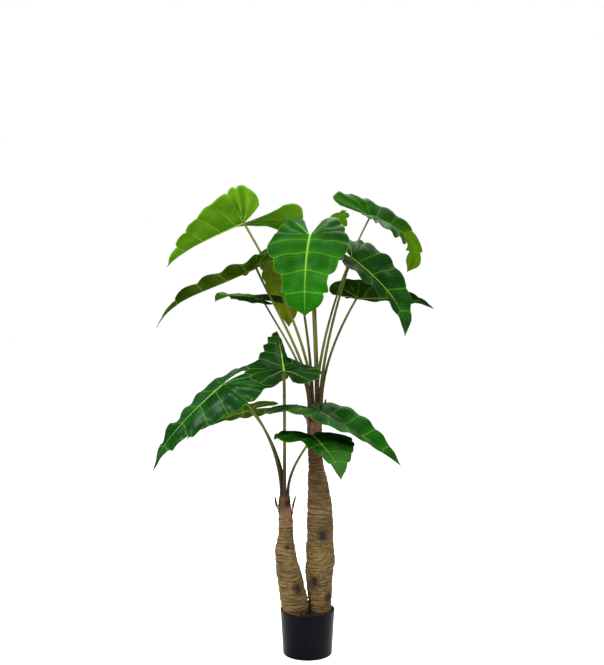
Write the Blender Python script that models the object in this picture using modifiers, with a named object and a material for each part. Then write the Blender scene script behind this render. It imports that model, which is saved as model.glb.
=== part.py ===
"""Potted giant taro: a black planter, two ringed trunks, fourteen petioles and fourteen arrow-shaped blades.

Metres, +Z up, the origin at the centre of the planter's foot, -Y towards the front.
"""
from dataclasses import dataclass

import bmesh
import bpy
import numpy as np
from mathutils import Vector
from mathutils.bvhtree import BVHTree

# Planter and potting filler
GAP = 0.0003
WELD = 0.00005
POT_HEIGHT = 0.141
POT_RIM_RADIUS = 0.0865
POT_FOOT_RADIUS = 0.078
POT_WALL = 0.002
POT_FLOOR = 0.003
POT_EDGE = 0.002
FILLER_TOP = 0.1325
FILLER_CHAMFER = 0.004
HOLE_FLOOR = 0.075
PEG_RADIUS = 0.030
TURNED_STEPS = 40

# Trunks: centre x, centre y, height z and radius at each station
SHORT_TRUNK = (
    (-0.038, -0.016, 0.133, 0.0385), (-0.041, -0.016, 0.158, 0.044), (-0.049, -0.016, 0.205, 0.042),
    (-0.0585, -0.016, 0.254, 0.0395), (-0.068, -0.016, 0.310, 0.034), (-0.0705, -0.016, 0.350, 0.029),
    (-0.069, -0.016, 0.400, 0.0235), (-0.070, -0.016, 0.440, 0.0225), (-0.073, -0.016, 0.480, 0.019),
    (-0.073, -0.016, 0.500, 0.0175),
)
TALL_TRUNK = (
    (0.042, 0.012, 0.133, 0.0365), (0.040, 0.012, 0.175, 0.0385), (0.038, 0.012, 0.247, 0.0435),
    (0.041, 0.012, 0.300, 0.0450), (0.041, 0.012, 0.369, 0.0430), (0.040, 0.012, 0.443, 0.0415),
    (0.037, 0.012, 0.500, 0.0360), (0.033, 0.012, 0.546, 0.0315), (0.027, 0.011, 0.600, 0.0250),
    (0.023, 0.010, 0.660, 0.0230), (0.023, 0.010, 0.720, 0.0235), (0.025, 0.010, 0.760, 0.0255),
    (0.025, 0.010, 0.778, 0.0262),
)
TRUNK_SIDES = 18
RING_SPACING = 0.024
RING_DEPTH = 0.0011
RING_TILT = 0.15
RING_TILT_RISE = 40.0
BARK_WANDER = 0.0012
WANDER_TWIST = 30.0
WANDER_RISE = 55.0
CALM_LENGTH = 0.02
# Knobs left by fallen leaves: height z, bearing from +X in degrees, width, swelling
SHORT_KNOBS = ((0.218, -75.0, 0.020, 0.0035), (0.335, 160.0, 0.022, 0.0030), (0.290, -120.0, 0.018, 0.0020))
TALL_KNOBS = (
    (0.378, -70.0, 0.026, 0.0040), (0.290, -20.0, 0.024, 0.0045), (0.230, -95.0, 0.022, 0.0030),
    (0.175, -60.0, 0.020, 0.0025), (0.450, 170.0, 0.026, 0.0030),
)

# Petioles
PETIOLE_FOOT_RADIUS = 0.0058
PETIOLE_TOP_RADIUS = 0.0038
PETIOLE_STUB = 0.004
PETIOLE_POINTS = 9
PETIOLE_SWING = 0.30
PETIOLE_SAMPLES = 1601
END_SAMPLES = 24
OUTER_RING = 0.0195
INNER_RING = 0.0072
SHORT_RING = 0.0095

# Blades
BLADE_THICKNESS = 0.0011
BLADE_CELLS_ALONG = 16
BLADE_CELLS_ACROSS = 4
VEINS = 8
SCALLOP = 0.05
WAVE = 0.020
WAVE_FADE = 5.0
RIGHT_PHASE = 1.3
SCALLOP_FADE = 6.0
JUNCTION_SHARE = 0.42
HALF_WIDTH = 0.45
LOBE_REACH = 0.35
FLARE_REACH = 0.30
WIDEST = 0.42
DRIP_START = 0.62
DRIP_LENGTH = 0.30
WAIST_START = -0.10
WAIST_LENGTH = 0.35
SPINE_POINTS = 65
# Makes the hook's curve, the cube of the share times the rest, peak at 1
HOOK_SCALE = 256 / 27
# Powers that crowd the grid's lines towards the junction, the rib and the margin
RIB_EASE = 1.25
LEAN_EASE = 1.15
MARGIN_EASE = 1.25
# Half of a flat blade of length 1, from the end of its basal lobe round to the tip: forward, outward
HALF_OUTLINE = np.array([
    (-0.43, 0.075), (-0.50, 0.14), (-0.50, 0.23), (-0.41, 0.32), (-0.24, 0.39), (-0.05, 0.42), (0.12, 0.405),
    (0.30, 0.355), (0.48, 0.285), (0.66, 0.205), (0.82, 0.12), (0.93, 0.045), (1.0, 0.0),
])


@dataclass(frozen=True)
class Half:
    """One half of a blade: folds at the lobe, the middle and the tip, and its outline's changes."""
    folds: tuple
    curl: float = -25.0
    lobe: float = 1.0
    flare: float = 0.0
    trim: float = 0.0
    width: float = 1.0


@dataclass(frozen=True)
class Leaf:
    """A leaf: its petiole's foot and arrival, the junction with the blade, the tip, and the blade's bends."""
    junction: tuple
    tip: tuple
    left: Half
    right: Half
    arrival: tuple
    foot: tuple
    crown: str = "tall"
    bow: float = 0.05
    hook: float = 0.04
    roll: float = 0.0
    twist: float = 0.0
    lobe_bend: float = -3.0
    stout: float = 1.0
    splay: float = 0.0
    drip: float = 0.0


LEAVES = {
    "a": Leaf((-0.207, 0.050, 1.381), (-0.485, 0.230, 1.251), Half((62, 46, 38), -5, 0.57, 0.3, width=0.78),
              Half((-30, 25, 30), -10, 0.95, width=1.05), (-0.50, 0.15, 0.86), (INNER_RING, 180), bow=0.03,
              hook=0.02, lobe_bend=2.6),
    "b": Leaf((-0.166, 0.032, 1.233), (-0.482, -0.008, 1.039), Half((26, 22, 28), lobe=0.7),
              Half((15, 15, 20), lobe=0.8), (-0.40, 0.05, 0.90), (OUTER_RING, 219), bow=0.03,
              hook=0.06, drip=0.8),
    "c": Leaf((0.007, -0.120, 1.322), (-0.009, -0.210, 1.073),
              Half((12, 10, 15), -20, 0.7, trim=-0.3, width=0.93),
              Half((12, 10, 15), -20, 0.7, trim=-0.3, width=0.93), (-0.03, -0.40, 0.92), (INNER_RING, 300),
              bow=0.14, hook=0.0, lobe_bend=-2.0, splay=0.04, drip=-0.9),
    "d": Leaf((-0.038, 0.240, 1.269), (-0.065, 0.380, 1.044), Half((10, 10, 10), lobe=0.5, width=1.1),
              Half((10, 10, 10), lobe=0.4), (-0.14, 0.40, 0.91), (OUTER_RING, 116), bow=0.12),
    "e": Leaf((-0.149, 0.135, 1.133), (-0.330, 0.340, 1.135), Half((5, 5, 10), -10, 0.7),
              Half((10, 10, 10), -10, 0.7), (-0.45, 0.35, 0.82), (OUTER_RING, 167), bow=0.04, lobe_bend=-1.0,
              stout=0.8),
    "f": Leaf((0.026, 0.160, 1.351), (0.027, 0.460, 1.357), Half((0, 0, 0), lobe=0.7),
              Half((55, 20, 0), 0, 0.6, width=1.1), (0.05, 0.30, 0.95), (OUTER_RING, 64), bow=0.03,
              hook=0.0, lobe_bend=0.0),
    "g": Leaf((0.213, 0.160, 1.415), (0.343, 0.200, 1.232), Half((80, 40, 40), lobe=0.9, trim=0.25),
              Half((-20, 0, 10), lobe=0.35), (0.45, 0.38, 0.81), (INNER_RING, 60), bow=0.22, hook=0.12,
              twist=-60.0, lobe_bend=-1.0, stout=0.8, drip=-1.0),
    "h": Leaf((0.140, 0.000, 1.263), (0.309, -0.030, 1.013), Half((20, 46, 44), -10, 0.35, width=1.05),
              Half((-10, -12, -20), -10, 0.4, width=0.85), (0.30, 0.00, 0.95), (OUTER_RING, 321), bow=0.09),
    "i": Leaf((0.170, 0.190, 1.142), (0.440, 0.240, 1.106), Half((25, 5, -5), lobe=0.3),
              Half((50, 32, 5), lobe=0.7), (0.50, 0.25, 0.83), (OUTER_RING, 13), bow=0.04, lobe_bend=-1.0),
    "j": Leaf((-0.071, -0.220, 0.910), (-0.100, 0.050, 1.029), Half((20, 15, 10), lobe=0.5, trim=0.35),
              Half((22, 10, 0), lobe=0.45, trim=0.85), (0.0, -0.80, 0.60), (SHORT_RING, 270),
              "short", bow=0.04, hook=0.0, stout=1.25),
    "k": Leaf((-0.262, -0.130, 0.864), (-0.462, -0.200, 0.608),
              Half((-22, -30, -15), lobe=1.25, trim=0.15, width=0.9), Half((7, 10, 6), trim=0.15),
              (-0.88, -0.25, 0.40), (SHORT_RING, 180), "short", bow=0.05, hook=0.03, lobe_bend=-4.0,
              drip=0.3),
    "l": Leaf((-0.186, 0.020, 0.774), (-0.388, -0.010, 0.678), Half((10, 10, 10), lobe=0.8),
              Half((10, 10, 10), lobe=0.8), (-0.72, 0.10, 0.69), (SHORT_RING, 90), "short", bow=0.06,
              roll=-20.0),
    "m": Leaf((0.037, -0.160, 0.784), (0.278, -0.200, 0.625), Half((-20, 34, 30), -10, 0.3, width=0.86),
              Half((-8, 2, 0), -8, 1.15), (0.10, -0.92, 0.38), (OUTER_RING, 270), bow=0.02, hook=0.02,
              lobe_bend=-5.0),
    "n": Leaf((0.016, -0.160, 0.711), (0.090, -0.390, 0.615), Half((5, 8, 10), lobe=0.4, width=1.12),
              Half((20, 0, 0), lobe=0.45, trim=0.6, width=1.12), (0.45, -0.45, 0.77), (SHORT_RING, 0),
              "short", bow=0.05, lobe_bend=-4.0),
}

# Husks: trunk, bearing in degrees, foot height, length, width, flare outward, sideways lean of the tip
HUSKS = {
    "husk_short_left": ("short", 195.0, 0.452, 0.048, 0.018, 0.012, -0.10),
    "husk_short_front": ("short", 285.0, 0.440, 0.058, 0.022, 0.004, 0.15),
    "husk_short_right": ("short", 345.0, 0.446, 0.058, 0.014, 0.019, 0.00),
    "husk_tall_left": ("tall", 215.0, 0.730, 0.066, 0.016, 0.040, -0.10),
    "husk_tall_front": ("tall", 268.0, 0.701, 0.074, 0.028, 0.003, 0.05),
    "husk_tall_right": ("tall", 356.0, 0.735, 0.075, 0.026, 0.005, 0.00),
}
HUSK_THICKNESS = 0.0008
HUSK_REST = 0.0010
HUSK_CELLS = 8
HUSK_CELLS_ACROSS = 4
HUSK_TAPER = 1.6
HUSK_CUP = 0.1

# Finishes: colour and roughness
FINISHES = {
    "pot": ((0.018, 0.020, 0.024), 0.42), "filler": ((0.030, 0.024, 0.018), 0.95),
    "bark": ((0.230, 0.180, 0.090), 0.80), "petiole": ((0.150, 0.200, 0.060), 0.45),
    "blade": ((0.020, 0.130, 0.025), 0.35), "husk": ((0.200, 0.090, 0.055), 0.80),
}


def clear_scene():
    """Remove every object of the open scene."""
    for thing in list(bpy.data.objects):
        bpy.data.objects.remove(thing, do_unlink=True)


def new_collection(name):
    """Make a collection under the scene's own and return it."""
    collection = bpy.data.collections.new(name)
    bpy.context.scene.collection.children.link(collection)
    return collection


def principled(name, colour, roughness):
    """Make a plain material of one colour."""
    material = bpy.data.materials.new(name)
    material.use_nodes = True
    shader = material.node_tree.nodes["Principled BSDF"]
    shader.inputs["Base Color"].default_value = (*colour, 1.0)
    shader.inputs["Roughness"].default_value = roughness
    shader.inputs["Metallic"].default_value = 0.0
    return material


def add_object(name, data, collection, finish):
    """Put a mesh or a curve in the scene with a material of its own."""
    made = bpy.data.objects.new(name, data)
    collection.objects.link(made)
    data.materials.append(principled(name + "_finish", *FINISHES[finish]))
    return made


def add_turned(name, profile, collection, finish):
    """Turn an open profile of (radius, height) points, which starts and ends on the axis, about +Z."""
    mesh = bpy.data.meshes.new(name)
    mesh.from_pydata([(radius, 0.0, height) for radius, height in profile],
                     [(k, k + 1) for k in range(len(profile) - 1)], [])
    made = add_object(name, mesh, collection, finish)
    screw = made.modifiers.new("turn", "SCREW")
    screw.steps = TURNED_STEPS
    screw.render_steps = TURNED_STEPS
    screw.use_merge_vertices = True
    screw.merge_threshold = WELD
    return made


def build_pot(collection):
    """The planter: a thin tapered wall, a flat floor and a small rounding at the rim and the foot."""
    slope = (POT_RIM_RADIUS - POT_FOOT_RADIUS) / POT_HEIGHT
    inner_foot = POT_FOOT_RADIUS - POT_WALL + slope * POT_FLOOR
    profile = [
        (0.0, POT_FLOOR), (inner_foot - POT_EDGE, POT_FLOOR), (inner_foot, POT_FLOOR + POT_EDGE),
        (POT_RIM_RADIUS - POT_WALL, POT_HEIGHT - POT_EDGE / 4), (POT_RIM_RADIUS - POT_WALL / 2, POT_HEIGHT),
        (POT_RIM_RADIUS, POT_HEIGHT - POT_EDGE / 4),
        (POT_FOOT_RADIUS, POT_EDGE), (POT_FOOT_RADIUS - POT_EDGE / 3, POT_EDGE / 3),
        (POT_FOOT_RADIUS - POT_EDGE, 0.0), (0.0, 0.0),
    ]
    return add_turned("pot", profile, collection, "pot")


def inner_radius(height):
    """Radius of the planter's inner wall at a height."""
    share = height / POT_HEIGHT
    return POT_FOOT_RADIUS + (POT_RIM_RADIUS - POT_FOOT_RADIUS) * share - POT_WALL


def build_filler(collection, cutters):
    """The potting filler: a plug in the planter with a plain blind hole for each trunk's peg."""
    low = POT_FLOOR + GAP
    profile = [
        (0.0, FILLER_TOP), (inner_radius(FILLER_TOP) - 2 * GAP, FILLER_TOP),
        (inner_radius(low + FILLER_CHAMFER) - 2 * GAP, low + FILLER_CHAMFER),
        (inner_radius(low) - FILLER_CHAMFER, low), (0.0, low),
    ]
    filler = add_turned("potting_filler", profile, collection, "filler")
    for label, stations in (("short", SHORT_TRUNK), ("tall", TALL_TRUNK)):
        x, y = stations[0][:2]
        depth = FILLER_TOP - HOLE_FLOOR + FILLER_CHAMFER
        bpy.ops.mesh.primitive_cylinder_add(vertices=TRUNK_SIDES * 2, radius=PEG_RADIUS + 2 * GAP,
                                            depth=depth, location=(x, y, HOLE_FLOOR + depth / 2))
        cutter = bpy.context.object
        cutter.name = "hole_" + label
        for owner in list(cutter.users_collection):
            owner.objects.unlink(cutter)
        cutters.objects.link(cutter)
        cutter.hide_render = True
        cutter.display_type = "WIRE"
        cut = filler.modifiers.new("hole_" + label, "BOOLEAN")
        cut.operation = "DIFFERENCE"
        cut.solver = "EXACT"
        cut.object = cutter
    return filler


def smooth_rows(rows, where):
    """Read rows of numbers at fractions 0 to 1 of their count, along a smooth curve through them."""
    rows = np.asarray(rows, dtype=float)
    last = len(rows) - 1
    place = np.clip(np.asarray(where, dtype=float), 0.0, 1.0) * last
    k = np.clip(place.astype(int), 0, last - 1)
    t = (place - k)[..., None]
    slopes = np.gradient(rows, axis=0)
    return ((2 * t**3 - 3 * t**2 + 1) * rows[k] + (t**3 - 2 * t**2 + t) * slopes[k]
            + (3 * t**2 - 2 * t**3) * rows[k + 1] + (t**3 - t**2) * slopes[k + 1])


def station_fraction(stations, heights):
    """Fractions of the station list that lie at the given heights."""
    levels = [row[2] for row in stations]
    return np.interp(heights, levels, np.linspace(0.0, 1.0, len(levels)))


def trunk_surface(stations, knobs, angle, height):
    """Points of a trunk's bark: rings that bulge between creases, a wandering outline and knobs."""
    rows = smooth_rows(stations, station_fraction(stations, height))
    turns = height / RING_SPACING + RING_TILT * np.sin(2.0 * angle + RING_TILT_RISE * height)
    ring = RING_DEPTH * (1.0 - 2.0 * np.abs(np.cos(np.pi * turns)) ** 3)
    wander = BARK_WANDER * np.sin(3.0 * angle + WANDER_TWIST * height) * np.sin(WANDER_RISE * height + angle)
    above = np.clip((height - stations[0][2]) / CALM_LENGTH, 0.0, 1.0)
    calm = above * np.clip((stations[-1][2] - height) / CALM_LENGTH, 0.0, 1.0)
    radius = rows[..., 3] + (ring + wander) * calm
    for knob_height, bearing, width, swelling in knobs:
        turn = angle - np.radians(bearing)
        turn = np.arctan2(np.sin(turn), np.cos(turn)) * rows[..., 3]
        far = (turn**2 + (height - knob_height) ** 2) / (width / 2) ** 2
        radius = radius + swelling * calm * np.exp(-far)
    x = rows[..., 0] + radius * np.cos(angle)
    y = rows[..., 1] + radius * np.sin(angle)
    return np.stack([x, y, height], -1)


def build_trunk(name, stations, knobs, collection):
    """A trunk: a ringed column whose lower end steps in to a plain peg."""
    low, high = stations[0][2] + GAP, stations[-1][2]
    rings = int(round((high - low) / (RING_SPACING / 2)))
    levels = np.linspace(low, high, rings + 1)
    angles = np.linspace(0.0, 2 * np.pi, TRUNK_SIDES, endpoint=False)
    height, angle = np.meshgrid(levels, angles, indexing="ij")
    bark = trunk_surface(stations, knobs, angle, height)
    centre = np.array([stations[0][0], stations[0][1], 0.0])
    spoke = np.stack([np.cos(angles), np.sin(angles), np.zeros_like(angles)], -1)
    peg = [centre + PEG_RADIUS * spoke + (0.0, 0.0, z) for z in (HOLE_FLOOR + 2 * GAP, low)]
    shape = bmesh.new()
    loops = [[shape.verts.new(point) for point in ring] for ring in (*peg, *bark)]
    for below, above in zip(loops, loops[1:]):
        for k in range(TRUNK_SIDES):
            after = (k + 1) % TRUNK_SIDES
            shape.faces.new((below[k], below[after], above[after], above[k]))
    shape.faces.new(list(reversed(loops[0])))
    shape.faces.new(loops[-1])
    mesh = bpy.data.meshes.new(name)
    shape.to_mesh(mesh)
    shape.free()
    mesh.shade_smooth()
    return add_object(name, mesh, collection, "bark")


def blend(folds, forward):
    """Fold at a place along the blade, from the lobe's value through the middle's to the tip's."""
    share = np.clip((forward + LOBE_REACH) / (1 + LOBE_REACH), 0.0, 1.0)
    lobe, middle, tip = folds
    pull = 2 * middle - (lobe + tip) / 2
    return lobe * (1 - share) ** 2 + pull * 2 * share * (1 - share) + tip * share**2


def flat_half(leaf, half, along, across):
    """Flat place of a point of a half blade, length 1. Splay opens the notch and drip narrows the tip.

    Args:
        along: 0 at the basal notch's edge, round the lobe, to 1 at the tip, one vein line for each value.
        across: 0 at the rib, 1 at the margin.
    """
    spans = np.linalg.norm(np.diff(HALF_OUTLINE, axis=0), axis=1)
    reach = np.concatenate([[0.0], np.cumsum(spans)]) / spans.sum()
    edge = smooth_rows(HALF_OUTLINE, np.interp(along, reach, np.linspace(0.0, 1.0, len(reach))))
    notch = 1.0 - np.abs(np.sin(np.pi * VEINS * along))
    fade = np.clip(SCALLOP_FADE * (1 - along), 0.0, 1.0) * np.clip(SCALLOP_FADE * along, 0.0, 1.0)
    edge = edge * (1.0 - SCALLOP * notch * fade)[..., None]
    edge_forward = np.where(edge[..., 0] < 0, edge[..., 0] * half.lobe, edge[..., 0])
    rib = np.clip((along - JUNCTION_SHARE) / (1 - JUNCTION_SHARE), 0.0, 1.0) ** RIB_EASE
    forward = rib + (edge_forward - rib) * across**LEAN_EASE
    inner = leaf.splay * (1 - edge[..., 1] / WIDEST) * np.clip(-edge_forward / FLARE_REACH, 0.0, 1.0)
    flare = 1 + half.flare * np.clip(-forward / FLARE_REACH, 0.0, 1.0)
    outward = (edge[..., 1] * half.width + inner) * across * flare
    taper = np.clip((forward - DRIP_START) / DRIP_LENGTH, 0.0, 1.0)
    outward = outward * (1 - leaf.drip * taper * taper * (3 - 2 * taper))
    waist = np.clip((forward - WAIST_START) / WAIST_LENGTH, 0.0, 1.0)
    return forward, outward * (1 - half.trim * waist * waist * (3 - 2 * waist))


def arc_offset(start, bend, distance):
    """Sideways and upward travel along an arc that starts at an angle and turns by bend a metre."""
    if abs(bend) < 1e-6:
        return np.cos(start) * distance, np.sin(start) * distance
    end = start + bend * distance
    return (np.sin(end) - np.sin(start)) / bend, (np.cos(start) - np.cos(end)) / bend


def spine(leaf):
    """The midrib's curve as many points, with its length and directions."""
    junction, tip = np.array(leaf.junction), np.array(leaf.tip)
    chord = tip - junction
    span = np.linalg.norm(chord)
    level = np.cross(chord / span, (0.0, 0.0, 1.0))
    level /= np.linalg.norm(level)
    rise = np.cross(level, chord / span)
    roll = np.radians(leaf.roll)
    side = level * np.cos(roll) + rise * np.sin(roll)
    up = rise * np.cos(roll) - level * np.sin(roll)
    g = np.linspace(0.0, 1.0, SPINE_POINTS)[:, None]
    lift = leaf.bow * 4 * g * (1 - g) + leaf.hook * HOOK_SCALE * g**3 * (1 - g)
    points = junction + g * chord + lift * span * up
    steps = np.linalg.norm(np.diff(points, axis=0), axis=1)
    share = np.concatenate([[0.0], np.cumsum(steps)]) / steps.sum()
    heading = np.gradient(points, g[:, 0], axis=0)
    heading /= np.linalg.norm(heading, axis=1, keepdims=True)
    return points, share, heading, side, steps.sum()


def blade_surface(leaf, right, along, across):
    """Points of one half of a blade in space.

    The midrib is an arc from the junction to the tip, and the basal lobes follow its tangent backwards on
    an arc of their own. Each cross section is an arc that leaves the midrib at the fold and curls.
    """
    half = leaf.right if right else leaf.left
    points, share, heading, side, length = spine(leaf)
    forward, outward = flat_half(leaf, half, along, across)
    at = np.clip(forward, 0.0, 1.0)
    rib = np.stack([np.interp(at, share, points[:, k]) for k in range(3)], -1)
    ahead = np.stack([np.interp(at, share, heading[:, k]) for k in range(3)], -1)
    ahead /= np.linalg.norm(ahead, axis=-1, keepdims=True)
    out = side - (ahead * side).sum(-1, keepdims=True) * ahead
    out /= np.linalg.norm(out, axis=-1, keepdims=True)
    up = np.cross(out, ahead)
    twist = (np.radians(leaf.twist) * np.clip(forward, -0.3, 1.0))[..., None]
    out, up = out * np.cos(twist) + up * np.sin(twist), up * np.cos(twist) - out * np.sin(twist)
    behind = -np.clip(forward, None, 0.0) * length
    travel, drop = arc_offset(0.0, leaf.lobe_bend, behind)
    rib = rib - travel[..., None] * ahead + drop[..., None] * up
    lean = (leaf.lobe_bend * behind)[..., None]
    up = up * np.cos(lean) + ahead * np.sin(lean)
    fold = np.radians(blend(half.folds, forward))
    bend = np.radians(half.curl) / (HALF_WIDTH * length)
    distance = outward * length
    sideways, raised = arc_offset(fold, bend, distance)
    phase = RIGHT_PHASE if right else 0.0
    fade = np.clip(WAVE_FADE * along, 0.0, 1.0) * np.clip(WAVE_FADE * (1 - along), 0.0, 1.0)
    wave = WAVE * length * across**2 * np.sin(2 * np.pi * VEINS * along + phase) * fade
    slope = fold + bend * distance
    sideways = (sideways - wave * np.sin(slope)) * (1.0 if right else -1.0)
    raised = raised + wave * np.cos(slope)
    return rib + sideways[..., None] * out + raised[..., None] * up


def grid_half(shape, leaf, right):
    """Add one half of a blade to a bmesh: a grid moved by the blade's formula."""
    fresh = bmesh.ops.create_grid(shape, x_segments=BLADE_CELLS_ALONG, y_segments=BLADE_CELLS_ACROSS,
                                  size=0.5)
    flat = np.array([vert.co[:2] for vert in fresh["verts"]]) + 0.5
    across = 1.0 - (1.0 - flat[:, 1]) ** MARGIN_EASE
    for vert, point in zip(fresh["verts"], blade_surface(leaf, right, flat[:, 0], across)):
        vert.co = point


def build_blade(name, leaf, collection):
    """A blade: two waved halves joined along the midrib, split into triangles and given thickness."""
    shape = bmesh.new()
    grid_half(shape, leaf, False)
    grid_half(shape, leaf, True)
    bmesh.ops.remove_doubles(shape, verts=shape.verts, dist=WELD)
    bmesh.ops.dissolve_degenerate(shape, dist=WELD, edges=shape.edges)
    bmesh.ops.recalc_face_normals(shape, faces=shape.faces)
    bmesh.ops.triangulate(shape, faces=shape.faces)
    mesh = bpy.data.meshes.new(name)
    shape.to_mesh(mesh)
    tree = BVHTree.FromBMesh(shape)
    shape.free()
    mesh.shade_smooth()
    made = add_object(name, mesh, collection, "blade")
    solid = made.modifiers.new("thickness", "SOLIDIFY")
    solid.thickness = BLADE_THICKNESS
    solid.offset = 0.0
    return made, tree


def petiole_foot(leaf):
    """Where a petiole stands on its trunk's flat top: a ring's radius and a bearing."""
    stations = TALL_TRUNK if leaf.crown == "tall" else SHORT_TRUNK
    x, y, z = stations[-1][:3]
    ring, bearing = leaf.foot
    turn = np.radians(bearing)
    return np.array([x + ring * np.cos(turn), y + ring * np.sin(turn), z + GAP])


def petiole_path(leaf):
    """Bezier curve from the crown, upright at first, to the blade's junction."""
    start, end = petiole_foot(leaf) + (0.0, 0.0, PETIOLE_STUB), np.array(leaf.junction)
    span = np.linalg.norm(end - start)
    arrival = np.array(leaf.arrival) / np.linalg.norm(leaf.arrival)
    first = start + (0.0, 0.0, PETIOLE_SWING * span)
    last = end - arrival * span * PETIOLE_SWING
    t = np.linspace(0.0, 1.0, PETIOLE_SAMPLES)[:, None]
    return ((1 - t) ** 3 * start + 3 * (1 - t) ** 2 * t * first + 3 * (1 - t) * t**2 * last + t**3 * end)


def clear_end(path, radius, tree):
    """Index of the path point where a petiole's flat end comes within a hair of its blade."""
    need = BLADE_THICKNESS / 2 + GAP
    for last in range(len(path) - 1, len(path) // 2, -1):
        before = last - round(last / (PETIOLE_POINTS - 1))
        heading = Vector(path[last] - path[before]).normalized()
        cross = heading.orthogonal().normalized()
        other = heading.cross(cross)
        ring = [Vector(path[last]) + radius * (cross * np.cos(a) + other * np.sin(a))
                for a in np.linspace(0.0, 2 * np.pi, END_SAMPLES, endpoint=False)]
        if all(tree.find_nearest(point)[3] > need for point in (*ring, Vector(path[last]))):
            return last
    return len(path) // 2


def build_petiole(name, leaf, tree, collection):
    """A petiole: a round tapering stem from the crown to just under its blade."""
    top = PETIOLE_TOP_RADIUS * leaf.stout
    path = petiole_path(leaf)
    path = path[:clear_end(path, top, tree) + 1]
    shares = np.linspace(0.0, 1.0, PETIOLE_POINTS)
    stations = [petiole_foot(leaf), *path[(shares * (len(path) - 1)).round().astype(int)]]
    radii = [PETIOLE_FOOT_RADIUS, *(top + (PETIOLE_FOOT_RADIUS - top) * (1 - shares) ** 2)]
    curve = bpy.data.curves.new(name, "CURVE")
    curve.dimensions = "3D"
    curve.bevel_depth = 1.0
    curve.bevel_resolution = 1
    curve.use_fill_caps = True
    line = curve.splines.new("POLY")
    line.points.add(len(stations) - 1)
    for point, station, radius in zip(line.points, stations, radii):
        point.co = (*station, 1.0)
        point.radius = radius
    return add_object(name, curve, collection, "petiole")


def build_husk(name, collection):
    """A husk: a narrow dry scale that lies along the bark, tapers to a point and flares outward."""
    crown, bearing, foot, length, width, flare, lean = HUSKS[name]
    stations, knobs = (TALL_TRUNK, TALL_KNOBS) if crown == "tall" else (SHORT_TRUNK, SHORT_KNOBS)
    shape = bmesh.new()
    fresh = bmesh.ops.create_grid(shape, x_segments=HUSK_CELLS, y_segments=HUSK_CELLS_ACROSS, size=0.5)
    flat = np.array([vert.co[:2] for vert in fresh["verts"]]) + 0.5
    rise, share = flat[:, 0], flat[:, 1] * 2 - 1
    height = foot + length * rise
    spread = width / 2 * (1 - rise**HUSK_TAPER) * share
    rows = smooth_rows(stations, station_fraction(stations, np.minimum(height, stations[-1][2])))
    angle = np.radians(bearing) + (spread + lean * length * rise**2) / rows[:, 3]
    bark = trunk_surface(stations, knobs, angle, np.minimum(height, stations[-1][2]))
    seat = np.hypot(bark[:, 0] - rows[:, 0], bark[:, 1] - rows[:, 1]) + HUSK_THICKNESS / 2 + HUSK_REST
    radius = seat + flare * rise**2 + HUSK_CUP * width * (1 - rise) * share**2
    for vert, x, y, r, a, z in zip(fresh["verts"], rows[:, 0], rows[:, 1], radius, angle, height):
        vert.co = (x + r * np.cos(a), y + r * np.sin(a), z)
    bmesh.ops.remove_doubles(shape, verts=shape.verts, dist=WELD)
    bmesh.ops.triangulate(shape, faces=shape.faces)
    mesh = bpy.data.meshes.new(name)
    shape.to_mesh(mesh)
    shape.free()
    made = add_object(name, mesh, collection, "husk")
    solid = made.modifiers.new("thickness", "SOLIDIFY")
    solid.thickness = HUSK_THICKNESS
    solid.offset = 0.0
    return made


def main():
    """Build the whole plant."""
    clear_scene()
    collection = new_collection("giant_taro")
    cutters = new_collection("cutters")
    build_pot(collection)
    build_filler(collection, cutters)
    build_trunk("trunk_short", SHORT_TRUNK, SHORT_KNOBS, collection)
    build_trunk("trunk_tall", TALL_TRUNK, TALL_KNOBS, collection)
    for label, leaf in LEAVES.items():
        tree = build_blade("blade_" + label, leaf, collection)[1]
        build_petiole("petiole_" + label, leaf, tree, collection)
    for name in HUSKS:
        build_husk(name, collection)


main()
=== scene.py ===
"""Looks of a potted artificial giant taro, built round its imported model.

Two ringed trunks stand in a black planter. Fourteen petioles rise from their crowns, and each one carries an
arrow-shaped blade with raised veins. Metres, +Z up, the origin at the centre of the planter's foot, -Y front.
"""

import logging
from dataclasses import dataclass
from enum import Enum
from functools import cache

import bpy
import numpy as np
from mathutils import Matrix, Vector


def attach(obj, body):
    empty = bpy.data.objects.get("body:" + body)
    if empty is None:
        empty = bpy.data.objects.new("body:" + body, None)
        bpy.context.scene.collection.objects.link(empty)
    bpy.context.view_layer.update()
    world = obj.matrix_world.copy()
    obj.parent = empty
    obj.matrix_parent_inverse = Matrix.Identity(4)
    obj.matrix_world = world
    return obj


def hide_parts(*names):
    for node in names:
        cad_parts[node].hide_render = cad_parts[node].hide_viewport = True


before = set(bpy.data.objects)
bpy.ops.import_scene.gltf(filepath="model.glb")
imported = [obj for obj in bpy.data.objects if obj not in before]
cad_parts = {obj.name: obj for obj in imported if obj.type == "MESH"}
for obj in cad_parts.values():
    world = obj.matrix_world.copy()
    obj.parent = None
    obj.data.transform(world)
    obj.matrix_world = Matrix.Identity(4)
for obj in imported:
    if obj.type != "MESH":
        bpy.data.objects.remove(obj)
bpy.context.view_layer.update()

Array = np.ndarray
Numbers = Array | float
Colour = tuple[float, float, float, float]
Screen = tuple[int, int, int]
Point = tuple[float, float, float]
Value = bpy.types.NodeSocket | float | Point | Colour
LOG = logging.getLogger("giant_taro")
SURFACE = "surface"
TURN = 2 * np.pi


def linear(red: float, green: float, blue: float) -> Colour:
    """Turn a colour of 0 to 255 on the screen's curve into a shader's linear colour.

    Args:
        red, green, blue: The three channels.

    Returns:
        The linear colour with an alpha of 1.
    """
    share = np.array([red, green, blue]) / 255.0
    low = share / 12.92
    high = ((share + 0.055) / 1.055) ** 2.4
    return (*(float(x) for x in np.where(share <= 0.04045, low, high)), 1.0)


def unit(vectors: Array) -> Array:
    """Scale vectors along the last axis to length 1."""
    return vectors / np.maximum(np.linalg.norm(vectors, axis=-1, keepdims=True), 1e-12)


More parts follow.
